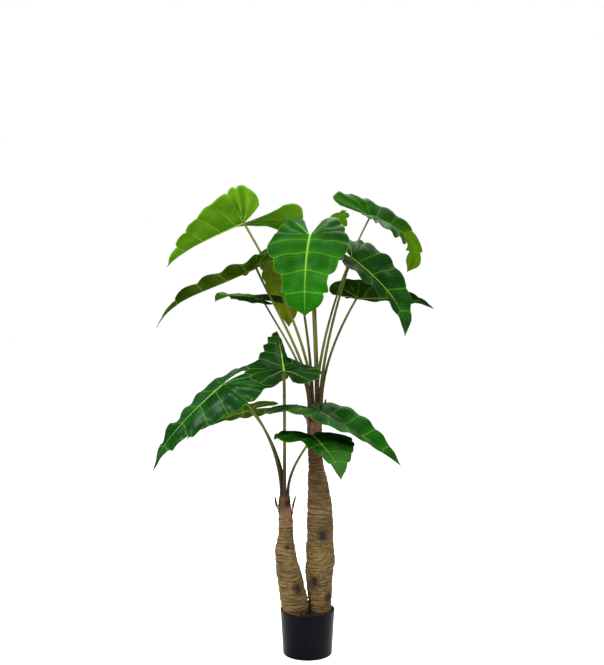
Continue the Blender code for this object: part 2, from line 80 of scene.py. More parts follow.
def clamp(value: Array) -> Array:
    """Hold values between 0 and 1."""
    return np.clip(value, 0.0, 1.0)


def ease(value: Array, low: float, high: float) -> Array:
    """Smoothstep: 0 below low, 1 above high, and t squared times 3 - 2t between."""
    t = clamp((value - low) / (high - low))
    return t * t * (3 - 2 * t)


def arch(share: Array) -> Array:
    """Parabola that is 0 at 0 and at 1, and 1 halfway."""
    return 4 * share * (1 - share)


def bell(away: Array) -> Array:
    """Bell curve: e to the power of minus away squared."""
    return np.exp(-away**2)


def circle(count: int) -> Array:
    """Angles of evenly spaced points round a circle."""
    return np.linspace(0.0, TURN, count, endpoint=False)


def lengths(path: Array) -> Array:
    """Distance along a path from its start to each of its points."""
    return np.concatenate([[0.0], np.cumsum(np.linalg.norm(np.diff(path, axis=0), axis=1))])


def headings(path: Array) -> Array:
    """Direction of a path at each of its points."""
    return unit(np.gradient(path, axis=0))


def polar(x: Numbers, y: Numbers, radius: Array, angle: Array, height: Numbers) -> Array:
    """Points round an upright axis: x + radius cos(angle), y + radius sin(angle), height."""
    return np.stack(np.broadcast_arrays(x + radius * np.cos(angle), y + radius * np.sin(angle), height), -1)


def smooth_rows(rows: Array, where: Array) -> Array:
    """Read rows of numbers along a smooth curve: a cubic between neighbours, with the slopes of the rows.

    Args:
        rows: One row for each station.
        where: Fractions 0 to 1 of the list's length.

    Returns:
        One row for each fraction.
    """
    rows = np.asarray(rows, dtype=float)
    last = len(rows) - 1
    place = clamp(where) * last
    k = np.clip(place.astype(int), 0, last - 1)
    t = (place - k)[..., None]
    slopes = np.gradient(rows, axis=0)
    return ((2 * t**3 - 3 * t**2 + 1) * rows[k] + (t**3 - 2 * t**2 + t) * slopes[k]
            + (3 * t**2 - 2 * t**3) * rows[k + 1] + (t**3 - t**2) * slopes[k + 1])


def lattice_noise(x: Array, y: Numbers, seed: int, around: int = 64, along: int = 512) -> Array:
    """Value noise from -1 to 1: seeded numbers on a square lattice, blended by smoothsteps along x and y.

    Args:
        x, y: Places in lattice cells.
        seed: Picks the lattice.
        around, along: Cells along x and y after which the pattern repeats.

    Returns:
        The noise at each place.
    """
    table = np.random.default_rng(seed).uniform(-1.0, 1.0, (around, along))
    i, j = np.floor(x).astype(int), np.floor(y).astype(int)
    s, t = ease(x - i, 0.0, 1.0), ease(y - j, 0.0, 1.0)
    i, j, i2, j2 = i % around, j % along, (i + 1) % around, (j + 1) % along
    low = table[i, j] * (1 - s) + table[i2, j] * s
    high = table[i, j2] * (1 - s) + table[i2, j2] * s
    return low * (1 - t) + high * t


def grid_faces(rows: int, columns: int, wrap: bool = False) -> Array:
    """List the quads of a grid: corner (i, j), then (i, j+1), (i+1, j+1) and (i+1, j).

    Args:
        rows, columns: Points each way.
        wrap: True where the last column joins the first, as round a tube.

    Returns:
        Four point indices for each quad.
    """
    i, j = np.indices((rows - 1, columns if wrap else columns - 1)).reshape(2, -1)
    after = (j + 1) % columns
    return np.stack([i * columns + j, i * columns + after, (i + 1) * columns + after, (i + 1) * columns + j], 1)


def vertex_normals(points: Array, quads: Array) -> Array:
    """Average direction of the faces round each point: the sum of the quads' diagonal cross products.

    Args:
        points: Points, n by 3.
        quads: Point indices, m by 4.

    Returns:
        A unit vector for each point.
    """
    a, b, c, d = (points[quads[:, k]] for k in range(4))
    face = np.cross(c - a, d - b)
    total = np.zeros_like(points)
    for k in range(4):
        np.add.at(total, quads[:, k], face)
    return unit(total)


def merged(points: Array) -> tuple[Array, Array]:
    """Find coincident points: the index of the first of each, and each point's place among those."""
    _, first, same = np.unique(np.round(points, 7), axis=0, return_index=True, return_inverse=True)
    return first, same.reshape(-1)


def tube(path: Array, side: Array, up: Array, wide: Array, high: Array, sides: int) -> Array:
    """Carry an oval along a path: point = path + wide cos(a) side + high sin(a) up, shrunk to a point at each end.

    Args:
        path, side, up: Centres and the oval's two directions, n by 3.
        wide, high: Half sizes of the oval at each centre.
        sides: Points round the oval.

    Returns:
        The grid, n + 2 by sides by 3.
    """
    angle = circle(sides)[:, None]
    ring = (path[:, None] + wide[:, None, None] * np.cos(angle) * side[:, None]
            + high[:, None, None] * np.sin(angle) * up[:, None])
    first, last = (np.repeat(path[k][None, None], sides, axis=1) for k in (0, -1))
    return np.concatenate([first, ring, last])


class Gather:
    """Gathers grids of quads into one mesh and puts it in the scene as one piece."""

    def __init__(self) -> None:
        """Start empty."""
        self.points: list[Array] = []
        self.quads: list[Array] = []
        self.corners: list[Array] = []
        self.slots: list[Array] = []
        self.masks: dict[str, list[Array]] = {}
        self.count = 0

    def add(self, points: Array, quads: Array, corners: Array, slot: int | Array = 0, **masks: Array) -> None:
        """Add quads whose coincident points are merged, so that poles and seams are closed.

        Args:
            points: Points, n by 3.
            quads: Point indices, m by 4.
            corners: UV of each corner, m by 4 by 2.
            slot: Material slot, one for all quads or one for each.
            masks: Named values of the points, for the material.
        """
        first, same = merged(points)
        self.points.append(points[first])
        self.quads.append(same[quads] + self.count)
        self.corners.append(corners)
        self.slots.append(np.broadcast_to(slot, len(quads)))
        for name, values in masks.items():
            self.masks.setdefault(name, []).append(values.reshape(-1)[first])
        self.count += len(first)

    def add_round(self, points: Array, run: Array, slot: int = 0, flip: bool = False, **masks: Array) -> None:
        """Add a grid that closes round its second way. Its UV is the share of a turn and a number for each row.

        Args:
            points: Points, rows by columns by 3.
            run: The UV's second number for each row.
            slot: Material slot.
            flip: True to turn the faces round.
            masks: Named values of the points.
        """
        rows, columns = points.shape[:2]
        quads, corners = grid_faces(rows, columns, True), grid_faces(rows, columns + 1)
        if flip:
            quads, corners = quads[:, ::-1], corners[:, ::-1]
        uv = np.stack(np.broadcast_arrays(np.linspace(0.0, 1.0, columns + 1)[None], run[:, None]), -1)
        self.add(points.reshape(-1, 3), quads, uv.reshape(-1, 2)[corners], slot, **masks)

    def add_slab(self, middle: Array, thickness: Array, uv: Array, under: int = 0) -> Array:
        """Give a sheet two faces and a rim: each point moves half the thickness along its normal, both ways.

        Args:
            middle: The sheet's middle surface, rows by columns by 3. Points may coincide.
            thickness: Thickness at each point.
            uv: UV of the points.
            under: Material slot of the lower face and the rim. The upper face has slot 0.

        Returns:
            The normals, in the shape of middle.
        """
        quads = grid_faces(*middle.shape[:2])
        flat, places = middle.reshape(-1, 3), uv.reshape(-1, 2)
        first, same = merged(flat)
        normals = vertex_normals(flat[first], same[quads])[same]
        lift = normals * thickness.reshape(-1, 1) / 2
        count = len(flat)
        index = np.arange(count).reshape(middle.shape[:2])
        edge = np.concatenate([index[:, 0], index[::-1, -1], index[0, ::-1]])
        after = np.roll(edge, -1)
        rim = np.stack([edge, after, after + count, edge + count], 1)
        faces = [quads, quads[:, ::-1] + count, rim]
        every = np.concatenate(faces)
        self.add(np.concatenate([flat + lift, flat - lift]), every, places[every % count],
                 np.repeat([0, under, under], [len(part) for part in faces]))
        return normals.reshape(middle.shape)

    def build(self, name: str, slot: str, node: str, *materials: bpy.types.Material) -> None:
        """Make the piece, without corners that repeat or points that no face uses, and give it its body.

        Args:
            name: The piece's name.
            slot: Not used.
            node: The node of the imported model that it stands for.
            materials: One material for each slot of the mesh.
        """
        quads = np.concatenate(self.quads)
        keep = quads != np.roll(quads, -1, axis=1)
        sizes = keep.sum(axis=1)
        good = sizes >= 3
        keep, sizes = keep[good], sizes[good]
        used, loops = np.unique(quads[good][keep], return_inverse=True)
        mesh = bpy.data.meshes.new(name)
        mesh.vertices.add(len(used))
        mesh.vertices.foreach_set("co", np.concatenate(self.points)[used].astype(np.float32).ravel())
        mesh.loops.add(len(loops))
        mesh.loops.foreach_set("vertex_index", loops.astype(np.int32).ravel())
        mesh.polygons.add(len(sizes))
        mesh.polygons.foreach_set("loop_start", np.concatenate([[0], np.cumsum(sizes)[:-1]]).astype(np.int32))
        mesh.polygons.foreach_set("material_index", np.concatenate(self.slots)[good].astype(np.int32))
        mesh.update(calc_edges=True)
        corners = np.concatenate(self.corners)[good][keep]
        mesh.uv_layers.new(name=SURFACE).uv.foreach_set("vector", corners.astype(np.float32).ravel())
        for mask, values in self.masks.items():
            attribute = mesh.attributes.new(mask, "FLOAT", "POINT")
            attribute.data.foreach_set("value", np.concatenate(values)[used].astype(np.float32))
        mesh.shade_smooth()
        for material in materials:
            mesh.materials.append(material)
        piece = bpy.data.objects.new(name, mesh)
        bpy.context.scene.collection.objects.link(piece)
        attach(piece, "root")
        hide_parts(node)
        LOG.info("%s: %d faces, stands for %s", name, len(mesh.polygons), node)


class Wiring:
    """Adds nodes to a shader tree and joins them."""

    def __init__(self, tree: bpy.types.NodeTree) -> None:
        """Work on one tree."""
        self.tree = tree

    def feed(self, socket: bpy.types.NodeSocket, value: Value) -> None:
        """Link a socket to another one, or set its value."""
        if isinstance(value, bpy.types.NodeSocket):
            self.tree.links.new(value, socket)
        else:
            socket.default_value = value

    def outputs(self, kind: str, inputs: dict[str | int, Value], **settings: object) -> object:
        """Add a node.

        Args:
            kind: Its type, without the leading ShaderNode.
            inputs: What each input gets.
            settings: The node's own properties.

        Returns:
            Its outputs.
        """
        made = self.tree.nodes.new("ShaderNode" + kind)
        for name, value in settings.items():
            setattr(made, name, value)
        for key, value in inputs.items():
            self.feed(made.inputs[key], value)
        return made.outputs

    def node(self, kind: str, inputs: dict[str | int, Value], out: str | int = 0, **settings: object) -> Value:
        """Add a node, as outputs does, and return one of its outputs."""
        return self.outputs(kind, inputs, **settings)[out]

    def math(self, operation: str, first: Value, second: Value = 0.5, clamp: bool = False) -> Value:
        """Add a Math node."""
        return self.node("Math", {0: first, 1: second}, operation=operation, use_clamp=clamp)

    def times(self, first: Value, second: Value) -> Value:
        """Multiply two values."""
        return self.math("MULTIPLY", first, second)

    def plus(self, first: Value, second: Value) -> Value:
        """Add two values."""
        return self.math("ADD", first, second)

    def less(self, first: Value, second: Value) -> Value:
        """Take the second value from the first."""
        return self.math("SUBTRACT", first, second)

    def step(self, value: Value, low: float, high: float) -> Value:
        """Add a smooth step from 0 at low to 1 at high."""
        return self.node("MapRange", {"Value": value, "From Min": low, "From Max": high},
                         interpolation_type="SMOOTHSTEP")

    def mix(self, share: Value, first: Value, second: Value) -> Value:
        """Mix two colours."""
        return self.node("Mix", {"Factor": share, 6: first, 7: second}, 2, data_type="RGBA")

    def tint(self, colour: Value, mask: Value, weight: float, other: Value) -> Value:
        """Mix a colour towards another where a mask is, by a weight."""
        return self.mix(self.times(mask, weight), colour, other)

    def noise(self, vector: Value, scale: Value, detail: float, roughness: float = 0.55) -> Value:
        """Add a noise texture."""
        return self.node("TexNoise", {"Vector": vector, "Scale": scale, "Detail": detail, "Roughness": roughness})

    def stretch(self, vector: Value, scale: Point) -> Value:
        """Scale a pattern's coordinates."""
        return self.node("Mapping", {"Vector": vector, "Scale": scale})

    def place(self) -> Value:
        """Object coordinates."""
        return self.node("TexCoord", {}, "Object")

    def uv(self) -> Value:
        """The piece's own UV map."""
        return self.node("UVMap", {}, uv_map=SURFACE)

    def coordinate(self, uv: Value, axis: int) -> Value:
        """One number of a vector."""
        return self.node("SeparateXYZ", {0: uv}, axis)

    def mask(self, name: str) -> Value:
        """A named value of the piece's points."""
        return self.node("Attribute", {}, "Fac", attribute_name=name)


def new_group(name: str, inputs: str, outputs: str) -> tuple[Wiring, object, object]:
    """Start a shader node group with named sockets: a vector named Vector, and numbers.

    Args:
        name: The group's name.
        inputs, outputs: Names of the sockets, with spaces between.

    Returns:
        The wiring, the sockets that give the inputs and the sockets that take the outputs.
    """
    tree = bpy.data.node_groups.new(name, "ShaderNodeTree")
    for way, labels in (("INPUT", inputs), ("OUTPUT", outputs)):
        for label in labels.split():
            kind = "NodeSocketVector" if label == "Vector" else "NodeSocketFloat"
            tree.interface.new_socket(name=label, in_out=way, socket_type=kind)
    return Wiring(tree), tree.nodes.new("NodeGroupInput").outputs, tree.nodes.new("NodeGroupOutput").inputs


class Patterns:
    """The node groups that several finishes share."""

    def __init__(self) -> None:
        """Build the groups once."""
        self.mottling = self._mottling()
        self.veining = self._veining()
        self.fibres = self._fibres()

    def _mottling(self) -> bpy.types.NodeTree:
        """Blotches: two noises, one 4.3 times as fine, weighed 7 to 3 and spread by Contrast.

        Returns:
            The group's tree.
        """
        w, given, out = new_group("mottling", "Vector Scale Contrast", "Value")
        coarse = w.noise(given["Vector"], given["Scale"], 3.0, 0.5)
        fine = w.noise(given["Vector"], w.times(given["Scale"], 4.3), 3.0, 0.5)
        both = w.plus(w.times(coarse, 0.7), w.times(fine, 0.3))
        spread = w.times(w.less(both, 0.5), given["Contrast"])
        w.feed(out["Value"], w.math("ADD", spread, 0.5, clamp=True))
        return w.tree

    def _veining(self) -> bpy.types.NodeTree:
        """Vein lines of a blade from its UV: a vein at each whole value of Veins times along.

        Halo is 1 on a vein and fades to 0 within 7 % of the way to the next. Fine is the same for five minor
        veins between two main ones. Middle is 0 on a vein and 1 halfway to the next. Rib is 1 along the midrib.

        Returns:
            The group's tree.
        """
        w, given, out = new_group("veining", "Along Across Veins", "Halo Fine Middle Rib")
        turns = w.times(given["Along"], given["Veins"])
        away = w.math("PINGPONG", turns, 0.5)
        minor = w.math("PINGPONG", w.times(turns, 6.0), 0.5)
        off = w.math("ABSOLUTE", w.less(given["Across"], 0.5))
        ahead = w.step(given["Along"], 0.40, 0.44)
        w.feed(out["Halo"], w.less(1.0, w.step(away, 0.0, 0.07)))
        w.feed(out["Fine"], w.less(1.0, w.step(minor, 0.0, 0.30)))
        w.feed(out["Middle"], w.times(away, 2.0))
        w.feed(out["Rib"], w.times(w.less(1.0, w.step(off, 0.0, 0.035)), ahead))
        return w.tree

    def _fibres(self) -> bpy.types.NodeTree:
        """Lengthwise fibres: noise of the UV, nine times as fine round a piece as along it.

        Returns:
            The group's tree.
        """
        w, given, out = new_group("fibres", "Vector Scale", "Value")
        w.feed(out["Value"], w.noise(w.stretch(given["Vector"], (9.0, 1.0, 1.0)), given["Scale"], 4.0, 0.5))
        return w.tree


@cache
def patterns() -> Patterns:
    """The shared node groups, built at the first call."""
    return Patterns()


class Coat(Wiring):
    """A material under construction, with its Principled shader."""

    def __init__(self, name: str, specular: float) -> None:
        """Start a material.

        Args:
            name: The material's name.
            specular: Its level of mirror gloss.
        """
        self.material = bpy.data.materials.new(name)
        self.material.use_nodes = True
        super().__init__(self.material.node_tree)
        self.shader = self.tree.nodes["Principled BSDF"]
        self.shader.inputs["Specular IOR Level"].default_value = specular

    def mix(self, share: Value, first: Value | Screen, second: Value | Screen) -> Value:
        """Mix two colours, each of them screen colours or another node's output."""
        return super().mix(share, *(linear(*c) if isinstance(c, tuple) else c for c in (first, second)))

    def mottle(self, scale: float, contrast: float) -> Value:
        """Blotches over the piece."""
        return self.node("Group", {"Vector": self.place(), "Scale": scale, "Contrast": contrast},
                         node_tree=patterns().mottling)

    def fibre(self, scale: float) -> Value:
        """Fibres along the piece's UV map."""
        return self.node("Group", {"Vector": self.uv(), "Scale": scale}, node_tree=patterns().fibres)

    def finish(self, colour: Value, patchy: Value, spread: float, rough: float,
               bumps: tuple[Value, float, float]) -> bpy.types.Material:
        """Feed the shader and end the material.

        Args:
            colour: The base colour.
            patchy, spread, rough: Roughness is rough + spread times patchy.
            bumps: A Bump node's height, strength and distance.

        Returns:
            The material.
        """
        height, strength, distance = bumps
        normal = self.node("Bump", {"Height": height, "Strength": strength, "Distance": distance})
        self.feed(self.shader.inputs["Base Color"], colour)
        self.feed(self.shader.inputs["Roughness"], self.plus(self.times(patchy, spread), rough))
        self.feed(self.shader.inputs["Normal"], normal)
        return self.material

    def let_light_through(self, colour: Value, share: float) -> None:
        """Mix a Translucent shader into the material's surface.

        Args:
            colour: The colour of the light that comes through.
            share: The Translucent shader's share.
        """
        through = self.node("BsdfTranslucent", {"Color": colour})
        mixed = self.node("MixShader", {0: share, 1: self.shader.outputs[0], 2: through})
        self.feed(self.tree.nodes["Material Output"].inputs["Surface"], mixed)


@dataclass(frozen=True)
class BladeFinish:
    """A leaf's screen colours, upper face, underside and raised veins, and its gloss and thinness."""
    deep: Screen
    light: Screen
    under_deep: Screen
    under_light: Screen
    vein: Screen
    under_vein: Screen
    gloss: float = 0.38
    through: float = 0.20
    sheen: float = 0.06
    # end is painted light: a lighter green mixed in towards the tip, for light falling on or shining through it.
    end: Screen = (60, 110, 30)
    lit_end_share: float = 0.0
    tip: Screen = (88, 62, 38)
    veins: float = 8.0

    def face(self, name: str, under: bool) -> bpy.types.Material:
        """Make the finish of one face: mottled green, with painted shade between the veins, paler along them and
        painted light towards the tip.

        Args:
            name: The green's name.
            under: True for the underside.

        Returns:
            The material.
        """
        w = Coat(f"leaf_{name}_{'under' if under else 'upper'}", 0.0 if under else self.sheen)
        deep, light, vein = ((self.under_deep, self.under_light, self.under_vein) if under
                             else (self.deep, self.light, self.vein))
        uv = w.uv()
        along, across = w.coordinate(uv, 0), w.coordinate(uv, 1)
        lines = w.outputs("Group", {"Along": along, "Across": across, "Veins": self.veins},
                          node_tree=patterns().veining)
        specks = w.mottle(38.0, 2.2)
        margin = w.step(w.math("ABSOLUTE", w.less(across, 0.5)), 0.478, 0.5)
        colour = w.mix(w.mottle(8.0, 3.0), deep, light)
        # The Middle mask darkens the skin between the veins: painted shade.
        for mask, weight, other in ((specks, 0.14, deep), (w.step(lines["Middle"], 0.25, 1.0), 0.45, deep),
                                    # Painted light: a lighter green towards the tip.
                                    (w.step(along, 0.64, 0.84), self.lit_end_share, self.end),
                                    (lines["Fine"], 0.03, vein), (lines["Halo"], 0.22, vein),
                                    (lines["Rib"], 0.40, vein), (margin, 0.30, vein),
                                    (w.step(along, 0.982, 0.993), 0.85, self.tip)):
            colour = w.tint(colour, mask, weight, other)
        height = w.plus(w.times(lines["Fine"], -0.04 if under else 0.04), w.noise(w.place(), 26.0, 3.0))
        w.let_light_through(colour, self.through)
        rough = self.gloss + (0.14 if under else 0.0)
        return w.finish(colour, specks, 0.16, rough, (height, 0.4 if under else 0.7, 0.0050))

    def ridge(self, name: str) -> bpy.types.Material:
        """Make the finish of the raised veins: lime at the stem, greener towards the margin, brown at the end.

        Args:
            name: The green's name.

        Returns:
            The material.
        """
        w = Coat(f"leaf_{name}_vein", 0.25)
        run = w.coordinate(w.uv(), 1)
        blotch = w.mottle(60.0, 1.8)
        colour = w.tint(self.vein, blotch, 0.35, self.light)
        colour = w.tint(colour, w.step(run, 0.15, 0.95), 0.75, self.light)
        colour = w.mix(w.step(run, 0.972, 0.985), colour, self.tip)
        return w.finish(colour, blotch, 0.15, 0.40, (blotch, 0.3, 0.0005))


@dataclass(frozen=True)
class StemFinish:
    """A petiole's colours: reddish brown at the crown, olive above, with pale and dark streaks."""
    base: Screen = (32, 17, 15)
    rust: Screen = (84, 46, 38)
    olive: Screen = (76, 86, 26)
    pale: Screen = (124, 132, 50)
    turn_low: float = 0.08
    turn_high: float = 0.26

    def material(self) -> bpy.types.Material:
        """Make the finish from the UV, whose second number is the length from the foot in metres.

        Returns:
            The material.
        """
        w = Coat("petiole", 0.14)
        streaks = w.fibre(6.0)
        low = w.mix(w.step(streaks, 0.42, 0.62), self.base, self.rust)
        high = w.mix(w.step(streaks, 0.40, 0.64), self.olive, self.pale)
        wander = w.plus(w.coordinate(w.uv(), 1), w.times(w.less(streaks, 0.5), 0.22))
        colour = w.mix(w.step(wander, self.turn_low, self.turn_high), low, high)
        colour = w.tint(colour, w.mottle(40.0, 2.0), 0.35, self.olive)
        return w.finish(colour, streaks, 0.22, 0.34, (streaks, 0.45, 0.0008))


@dataclass(frozen=True)
class BarkFinish:
    """A trunk's colours: tan bark, painted shade in its creases, dark knots, pinkish scars and a dark mottled top."""
    name: str
    tan: Screen = (138, 112, 64)
    olive: Screen = (92, 72, 36)
    # Painted shade colour for the creases, also used for fine dark flecks.
    crease: Screen = (34, 24, 12)
    knot: Screen = (26, 19, 14)
    blush: Screen = (146, 108, 86)
    sheath: Screen = (84, 50, 38)

    def material(self) -> bpy.types.Material:
        """Make the finish from the masks that the trunk's mesh carries.

        Returns:
            The material.
        """
        w = Coat(self.name, 0.25)
        blotch = w.mottle(18.0, 1.8)
        lines = w.noise(w.stretch(w.place(), (0.30, 0.30, 3.6)), 90.0, 4.0)
        colour = w.mix(blotch, self.olive, self.tan)
        colour = w.tint(colour, w.step(w.mottle(75.0, 3.4), 0.40, 0.9), 0.45, self.crease)
        # Painted shade: the bump's low lines are darkened.
        colour = w.tint(colour, w.step(lines, 0.52, 0.36), 0.62, self.crease)
        colour = w.tint(colour, w.mask("blush"), 0.60, self.blush)
        colour = w.mix(w.times(w.mask("sheath"), w.plus(w.times(blotch, 0.6), 0.45)), colour, self.sheath)
        # Painted shade: darker deep in the wrinkles' creases.
        colour = w.tint(colour, w.mask("crease"), 0.92, self.crease)
        colour = w.mix(w.mask("knot"), colour, self.knot)
        height = w.plus(lines, w.times(w.noise(w.place(), 420.0, 2.0), 0.4))
        return w.finish(colour, blotch, 0.2, 0.62, (height, 0.9, 0.0026))


@dataclass(frozen=True)
class HuskFinish:
    """A dry scale's colours: papery brown with darker fibres and a blackish tip."""
    paper: Screen = (142, 102, 78)
    fibre: Screen = (86, 52, 38)
    tip: Screen = (36, 25, 22)

    def material(self) -> bpy.types.Material:
        """Make the finish from the UV, whose second number runs from the foot to the point.

        Returns:
            The material.
        """
        w = Coat("husk", 0.25)
        fibre = w.fibre(5.0)
        colour = w.mix(w.step(fibre, 0.40, 0.62), self.fibre, self.paper)
        colour = w.mix(w.step(w.coordinate(w.uv(), 1), 0.40, 0.70), colour, self.tip)
        return w.finish(colour, fibre, 0.2, 0.6, (fibre, 0.7, 0.0010))


@dataclass(frozen=True)
class PlanterFinish:
    """Charcoal moulded plastic: satin, with faint flow marks and dust."""
    body: Screen = (5, 5, 10)
    worn: Screen = (14, 15, 22)

    def material(self) -> bpy.types.Material:
        """Make the finish.

        Returns:
            The material.
        """
        w = Coat("planter", 0.07)
        flow = w.noise(w.stretch(w.place(), (1.0, 1.0, 0.12)), 70.0, 3.0)
        dust = w.mottle(30.0, 2.4)
        colour = w.tint(self.body, w.step(flow, 0.45, 0.75), 0.35, self.worn)
        colour = w.tint(colour, dust, 0.18, self.worn)
        return w.finish(colour, dust, 0.10, 0.22, (w.noise(w.place(), 900.0, 2.0), 0.15, 0.0003))


@dataclass(frozen=True)
class FillerFinish:
    """Dark crumbly potting filler with a few brown bits."""
    dark: Screen = (22, 18, 15)
    brown: Screen = (70, 54, 38)

    def material(self) -> bpy.types.Material:
        """Make the finish.

        Returns:
            The material.
        """
        w = Coat("filler", 0.2)
        bits = w.mottle(120.0, 4.0)
        colour = w.mix(w.step(bits, 0.45, 0.9), self.dark, self.brown)
        return w.finish(colour, bits, 0.15, 0.8, (w.noise(w.place(), 380.0, 4.0), 0.8, 0.002))


class Tone(Enum):
    """Which green a leaf has. Some tones hold painted light: the lime tone is brighter, as for light shining through
    the leaf, the dusk tone is paler where the leaf is lit, and the bronze and shade tones are darker for painted
    shade.
    """
    # Painted light: brighter greens, as for light shining through the leaf.
    LIT_LIME = BladeFinish((40, 96, 16), (84, 140, 30), (84, 142, 16), (124, 180, 40), (160, 196, 70), (176, 210, 84),
                       through=0.34)
    # Painted shade: darker greens, for a leaf in shade.
    SHADED_BRONZE = BladeFinish((24, 58, 12), (48, 90, 22), (38, 62, 4), (72, 104, 16), (126, 150, 56), (128, 150, 50))
    # Its end colour is painted light on the lower part of the blade.
    FRESH = BladeFinish((8, 52, 6), (32, 106, 8), (60, 112, 14), (98, 148, 28), (136, 186, 56), (130, 168, 50),
                        sheen=0.04, end=(36, 130, 8), lit_end_share=0.35)
    OLIVE = BladeFinish((44, 84, 12), (76, 114, 20), (92, 116, 8), (126, 146, 26), (124, 150, 50), (146, 158, 60),
                        through=0.34)
    MOSS = BladeFinish((34, 72, 12), (62, 98, 20), (34, 62, 8), (62, 96, 20), (124, 150, 50), (122, 146, 46),
                       through=0.20)
    # Painted light: paler greens, for where the leaf is lit.
    DUSK = BladeFinish((44, 84, 30), (80, 120, 48), (44, 74, 14), (76, 108, 26), (120, 150, 60), (110, 136, 50),
                       sheen=0.0)
    # Its end colour is painted light: yellow-green, for light shining through the end.
    RUFFLED = BladeFinish((14, 62, 4), (46, 110, 14), (76, 122, 4), (112, 156, 14), (124, 172, 50), (136, 176, 40),
                          through=0.34, sheen=0.03, end=(98, 142, 5), lit_end_share=0.85)
    NIGHT = BladeFinish((12, 46, 12), (32, 86, 24), (24, 54, 12), (48, 80, 24), (128, 176, 26), (90, 116, 36),
                        gloss=0.36, sheen=0.03)
    # Painted shade: darker greens, for a leaf in shade.
    SHADE = BladeFinish((16, 46, 8), (34, 72, 16), (16, 38, 2), (44, 76, 14), (92, 122, 36), (66, 92, 22))
    FOREST = BladeFinish((2, 27, 5), (16, 69, 10), (34, 62, 10), (62, 94, 20), (132, 176, 58), (96, 126, 40))
    GLOSSY = BladeFinish((4, 46, 8), (22, 92, 16), (50, 80, 14), (76, 106, 24), (122, 172, 66), (104, 136, 44),
                         gloss=0.24, sheen=0.10)
    JADE = BladeFinish((4, 54, 3), (28, 106, 8), (44, 82, 12), (74, 114, 20), (146, 192, 66), (108, 142, 40))
    # Its end colour is a painted highlight near the tip.
    DEEP = BladeFinish((4, 44, 5), (26, 86, 12), (44, 68, 16), (72, 100, 24), (124, 172, 56), (98, 126, 42),
                       sheen=0.0, end=(76, 128, 56), lit_end_share=0.4)

    def materials(self) -> list[bpy.types.Material]:
        """Make the finishes of a blade's upper face, underside and veins."""
        name, finish = self.name.lower(), self.value
        return [finish.face(name, False), finish.face(name, True), finish.ridge(name)]


